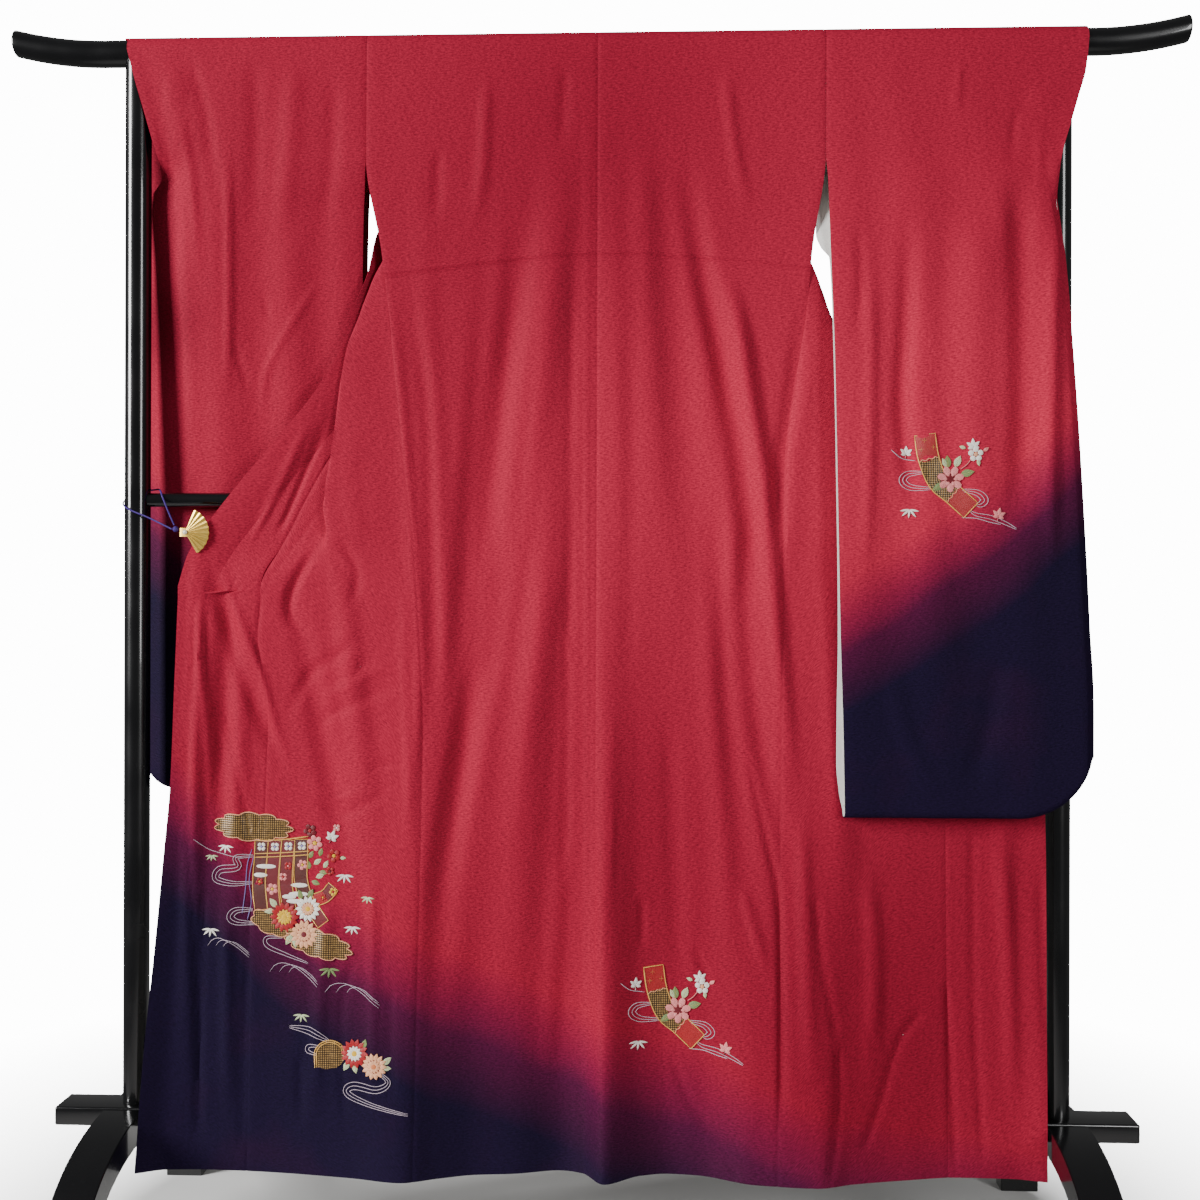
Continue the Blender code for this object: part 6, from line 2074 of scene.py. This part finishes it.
def ribbon_spray(name: str, cloths: list[ClothPiece], x: float, z: float) -> Needlework:
    """Work the fallen ribbon with its flowers, leaves and water.

    Args:
        name: Name of the needlework.
        cloths: The cloth that takes it.
        x: Place of the ribbon's middle along X, in millimetres.
        z: Its height.

    Returns:
        The needlework.
    """
    work = Needlework(name, cloths, x, z)
    for corners in (((-76, 37), (-62, 26), (-43, 22)),
                    ((18, -55), (37, -56), (55, -61), (70, -64))):
        work.line(Floss.MIST, curve(corners))
    work.stream(Floss.MIST, 3, (-34, 6), (-53, 4), (-60, -5), (-49, -14), (-23, -16))
    work.stream(Floss.MIST, 3, (18, -18), (39, -22), (48, -31), (43, -37), (37, -37))
    work.stream(Floss.MIST, 2, (29, -46), (38, -51), (58, -55), (78, -63), (91, -70))
    work.base = 0.6
    spine = curve(((-31, 57), (-26, 25), (-14, -6), (6, -23), (30, -45)), steps=4)
    work.band((Floss.RED, Floss.BASKET, Floss.BASKET, Floss.RED), spine, 13.5)
    work.base = 1.0
    for x_at, z_at in ((-32, 49), (-36, 37), (-20, 40)):
        for k in (0.0, 90.0):
            stitch = turned(np.array(((-3.4, 0.0), (3.4, 0.0))), x_at, z_at, k)
            work.line(Floss.GOLD, stitch, 0.8, 0.2)
    share = np.linspace(-1.0, 1.0, 25)[:, None]
    for k in (4, 12):
        across = beside(spine)[k]
        scallop = 2.0 * np.abs(np.sin(share * math.pi * 1.5)) * (across[1], -across[0])
        work.line(Floss.PEACH, spine[k] + share * across * 13.0 + scallop, 1.4, 0.4)
    for x_at, z_at, length, turn, floss in (
            (0, 12, 17, 95, Floss.GREEN), (9, 13, 17, 65, Floss.PALE),
            (16, 3, 19, 12, Floss.GREEN), (-7, -9, 17, 215, Floss.GREEN),
            (-1, 13, 14, 120, Floss.PALE), (46, 34, 9, 35, Floss.PINK),
            (23, 38, 9, 160, Floss.PALE), (39, 23, 9, -80, Floss.PALE)):
        work.leaf(x_at, z_at, length, turn, floss)
    work.line(Floss.PINK, curve(((16, 10), (24, 16), (31, 25))), 1.2)
    work.base = 1.4
    # Painted shade: a dark wine ground under the flower shows in the gaps between its petals.
    work.patch(Floss.WINE, turned(lobed(14, 12, 7, 0.05, 3), 3, -3), 0.2)
    work.bloom(3, -3, 18.5, 7, Floss.PINK, Floss.WINE, 12.0)
    work.base = 1.9
    work.ring(Floss.PINK, 3, -3, 4.0, 6.5, 4.6, 6)
    work.base = 1.0
    work.maple(33, 40, 12, 95.0, Floss.WHITE)
    work.bloom(36, 30, 10.5, 5, Floss.WHITE, Floss.PEACH, 20.0)
    work.maple(-55, 32, 11, 88.0, Floss.WHITE)
    work.maple(67, -53, 12, 80.0, Floss.PINK)
    work.spray(-51, -44, 15, Floss.WHITE)
    return work


def garden(cloths: list[ClothPiece]) -> Needlework:
    """Work the clouds, the hanging, the flowers and the water on the left front.

    Args:
        cloths: The cloth that takes it.

    Returns:
        The needlework.
    """
    work = Needlework("embroidery_left", cloths, -573, 659)
    for strands, corners in (
            (1, ((24, -82), (44, -97), (75, -105), (92, -107))),
            (3, ((106, -105), (83, -107), (85, -120), (59, -125), (55, -138), (79, -143),
                 (106, -142))),
            (3, ((107, -179), (84, -180), (76, -189), (85, -196), (110, -198))),
            (2, ((150, -216), (127, -217), (128, -228), (154, -239), (186, -250))),
            (3, ((161, -337), (184, -340), (200, -345), (217, -354))),
            (2, ((206, -360), (189, -362), (188, -369), (202, -372))),
            (3, ((290, -392), (302, -405), (286, -415), (253, -412), (244, -422), (272, -434),
                 (330, -446)))):
        work.stream(Floss.MIST, strands, *corners)
    for corners in (((104, -96), (98, -118), (96, -150), (92, -184)),
                    ((107, -104), (101, -136), (104, -168), (99, -193))):
        work.line(Floss.LAVENDER, curve(corners), 1.3)
    for x, z, wide, high in ((44, -229, 58, 12), (132, -263, 68, 14), (211, -288, 76, 14)):
        work.mound(x, z, wide, high)
    for x, z, size, floss in ((68, -91, 14, Floss.WHITE), (48, -105, 11, Floss.PALE),
                              (48, -206, 15, Floss.WHITE), (236, -129, 15, Floss.WHITE),
                              (269, -158, 12, Floss.PALE), (217, -256, 17, Floss.GREEN),
                              (248, -199, 14, Floss.WHITE), (178, -320, 14, Floss.PALE)):
        work.spray(x, z, size, floss)
    for k, (x, z, length, turn) in enumerate((
            (185, -107, 12, 60), (192, -115, 13, 35), (186, -122, 12, 100),
            (195, -133, 13, 20), (189, -138, 13, -20), (206, -120, 12, 60),
            (200, -125, 12, -10), (228, -106, 9, 0), (200, -104, 12, 75))):
        work.leaf(x, z, length, turn, Floss.PALE if k % 2 else Floss.GREEN)
    work.base = 0.5
    # The hanging: four breadths, crossed by gold bars and bars of mist.
    for k, (flosses, corners) in enumerate((
            ((Floss.BROWN,) * 3, ((118, -83), (117, -107), (115, -143), (119, -179))),
            ((Floss.WINE,) * 3, ((137, -83), (135, -107), (133, -143), (137, -179))),
            ((Floss.WINE,) * 3, ((156, -82), (154, -107), (153, -143), (159, -179))),
            ((Floss.BROWN, Floss.BROWN, Floss.BROWN, Floss.WINE),
             ((174, -81), (174, -107), (174, -136), (184, -165), (207, -196))))):
        work.band(flosses, curve(corners, steps=4), 9.2)
    work.band((Floss.WINE, Floss.RED), curve(((220, -145), (209, -158), (191, -165)), steps=4),
              8.5)
    work.base = 1.0
    for x, z, radius, petals, floss, heart in (
            (118, -92, 6.5, 4, Floss.WHITE, Floss.LAVENDER),
            (137, -92, 6.5, 4, Floss.WHITE, Floss.LAVENDER),
            (156, -91, 6.5, 4, Floss.WHITE, Floss.LAVENDER),
            (175, -90, 6.5, 4, Floss.WHITE, Floss.LAVENDER),
            (176, -116, 7.5, 5, Floss.PINK, Floss.YELLOW),
            (134, -150, 8.5, 5, Floss.PINK, Floss.YELLOW),
            (156, -118, 6, 4, Floss.RED, Floss.PINK),
            (149, -133, 6, 4, Floss.PINK, Floss.RED),
            (116, -140, 5.5, 5, Floss.RED, Floss.YELLOW),
            (220, -152, 6, 5, Floss.YELLOW, Floss.RED),
            (206, -160, 5, 5, Floss.RED, Floss.YELLOW),
            (186, -69, 9.5, 5, Floss.WINE, Floss.RED),
            (193, -86, 11.5, 6, Floss.PINK, Floss.YELLOW),
            (223, -65, 5.5, 4, Floss.PINK, Floss.WHITE),
            (220, -103, 9.5, 5, Floss.RED, Floss.YELLOW),
            (215, -124, 6.5, 5, Floss.RED, Floss.WINE)):
        work.bloom(x, z, radius, petals, floss, heart, 45.0)
    work.maple(216, -79, 12, 70.0, Floss.WHITE)
    for x, z, wide in ((125, -119, 14), (117, -131, 10), (172, -144, 12), (171, -156, 14),
                       (158, -160, 10), (166, -166, 12)):
        work.patch(Floss.WHITE, turned(lobed(wide, 3.4, 2, 0.10, 6), x, z), 0.5)
    for corners in (((108, -84), (147, -82), (184, -77)), ((108, -102), (147, -100), (186, -97)),
                    ((108, -107), (147, -105), (186, -102))):
        work.line(Floss.GOLD, curve(corners), 2.0, 0.6)
    for x, z, wide, high, bumps, turn in (
            (106, -65, 57, 20, 11, -3.0), (135, -196, 32, 17, 7, -20.0),
            (200, -223, 50, 19, 11, -14.0)):
        work.cloud(x, z, wide, high, bumps, turn)
    work.base = 1.4
    for x, z, length, turn, floss in (
            (141, -175, 16, 130, Floss.PALE), (137, -179, 14, 190, Floss.PALE),
            (163, -211, 17, 240, Floss.PALE), (167, -215, 15, 275, Floss.PALE),
            (176, -163, 14, 110, Floss.GREEN), (185, -161, 14, 60, Floss.GREEN)):
        work.leaf(x, z, length, turn, floss)
    work.chrysanthemum(185, -176, 18, Floss.WHITE, Floss.PEACH, Floss.YELLOW)
    work.chrysanthemum(152, -188, 21, Floss.RED, Floss.YELLOW, Floss.YELLOW)
    work.chrysanthemum(180, -211, 20, Floss.PEACH, Floss.PEACH, Floss.WINE)
    # The smaller group below it.
    work.base = 0.5
    drum = np.array([(-20.0, -18.0)] + [(21.0 * math.cos(a), 19.0 * math.sin(a)) for a in
                                        np.linspace(3.3, -1.2, 22)] + [(-4.0, -19.5)])
    work.patch(Floss.BASKET, drum + (219, -372), 0.4)
    for share in (1.0, 0.86):
        rim = curve([tuple(p) for p in drum[:16] * share + (219, -372)], steps=2)
        work.line(Floss.GOLD, rim, 1.6, 0.8)
    for x, z, length, turn, floss in (
            (294, -381, 15, 40, Floss.PALE), (246, -380, 15, 240, Floss.PALE),
            (253, -382, 14, 285, Floss.PALE), (265, -362, 14, 70, Floss.GREEN),
            (294, -386, 12, 0, Floss.PALE)):
        work.leaf(x, z, length, turn, floss)
    work.base = 1.0
    work.chrysanthemum(254, -369, 20, Floss.RED, Floss.WHITE, Floss.YELLOW)
    work.chrysanthemum(282, -384, 18, Floss.PEACH, Floss.PEACH, Floss.ORANGE)
    return work


class Studio:
    """A pale floor, two soft boxes, a bright room and the camera."""

    EYE = (0.0956, -2.0478, 0.910)
    TURN = math.radians(2.34)
    ROLL = math.radians(-0.15)
    LENS = 43.95
    SENSOR = 36.0
    # Strength of the room's light on the object, and of the paper that the camera sees.
    ROOM = 0.12
    PAPER = 14.0
    # The floor's radius, and the reach over which it fades into the paper.
    FLOOR = 1.6
    FADE = (0.7, 1.55)

    def floor(self) -> None:
        """Lay a plain pale floor that fades into the room at its edge."""
        disc = primitive("floor", bpy.ops.mesh.primitive_circle_add, vertices=96,
                         radius=self.FLOOR, fill_type="NGON", location=(0.0, 0.0, 0.0))
        finish = Finish("pale_floor", "#f4f3f1", roughness=0.6, specular=0.2)
        material, tree, shader = finish.start()
        place = add_node(tree, "ShaderNodeTexCoord").outputs["Object"]
        far = add_node(tree, "ShaderNodeVectorMath", {0: place}, operation="LENGTH")
        plug(tree, shader, {"Alpha": ranged(tree, far.outputs["Value"], 1.0, 0.0, *self.FADE)})
        disc.data.materials.append(material)

    def lamp(self, name: str, power: float, size: tuple[float, float],
             place: tuple[float, float, float], target: tuple[float, float, float]) -> None:
        """Hang one soft box."""
        data = bpy.data.lights.new(name, "AREA")
        data.energy = power
        data.shape = "RECTANGLE"
        data.size, data.size_y = size
        item = put_in_scene(name, data)
        item.location = place
        item.rotation_euler = (Vector(target) - Vector(place)).to_track_quat("-Z", "Y").to_euler()

    def room(self) -> None:
        """Surround the object with an even bright room."""
        world = bpy.data.worlds.new("studio_room")
        world.use_nodes = True
        tree = world.node_tree
        background = tree.nodes["Background"]
        background.inputs["Color"].default_value = srgb("#ffffff")
        # The paper behind the object is lit far brighter than the room that lights it.
        ray = add_node(tree, "ShaderNodeLightPath").outputs["Is Camera Ray"]
        plug(tree, background, {"Strength": ranged(tree, ray, self.ROOM, self.PAPER)})
        bpy.context.scene.world = world

    def camera(self) -> None:
        """Set the camera where the photograph was taken from."""
        data = bpy.data.cameras.new("camera")
        data.lens = self.LENS
        data.sensor_width = self.SENSOR
        item = put_in_scene("camera", data)
        item.location = self.EYE
        item.rotation_euler = (math.pi / 2.0, self.ROLL, self.TURN)
        bpy.context.scene.camera = item

    def build(self) -> None:
        """Build the whole studio."""
        self.floor()
        self.room()
        self.lamp("key_left", 600.0, (1.6, 2.6), (-4.9, -2.7, 2.6), (0.0, 0.0, 0.9))
        self.lamp("fill_right", 80.0, (1.0, 2.2), (2.9, -3.4, 1.7), (0.0, 0.0, 0.9))
        self.camera()


def main() -> None:
    """Build the looks of the kimono, its clips, its stand and the studio."""
    logging.basicConfig(level=logging.INFO)
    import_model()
    back = Relief(BACK_CREASES + LEFT_FRONT_CREASES + RIGHT_FRONT_CREASES)
    widths, overlaps = {}, {}
    for side in Side:
        body = BodyWidth(side, back)
        widths[side] = body.build()
        overlaps[side] = Overlap(body, back).build()
    collar = Collar(back).build()
    left_sleeve = Sleeve(Side.LEFT, Relief(LEFT_SLEEVE_CREASES)).build()
    right_sleeve = Sleeve(Side.RIGHT, Relief(RIGHT_SLEEVE_CREASES)).build()
    left, right = widths[Side.LEFT], widths[Side.RIGHT]
    left.declare(garden([left, overlaps[Side.LEFT]]).finish())
    right.declare(ribbon_spray("embroidery_right", [right, left], 119, 351).finish())
    right_sleeve.declare(ribbon_spray("embroidery_sleeve", [right_sleeve], 483, 1077).finish())
    for piece in (overlaps[Side.LEFT], overlaps[Side.RIGHT], collar, left_sleeve):
        piece.declare()
    posts, rail = Posts(), BaseRail()
    TopRod().build()
    posts.build()
    MiddleRail().build(posts)
    rail.build()
    Feet().build(rail)
    for side in Side:
        FanClip(side).build()
    Studio().build()


if __name__ == "__main__":
    main()
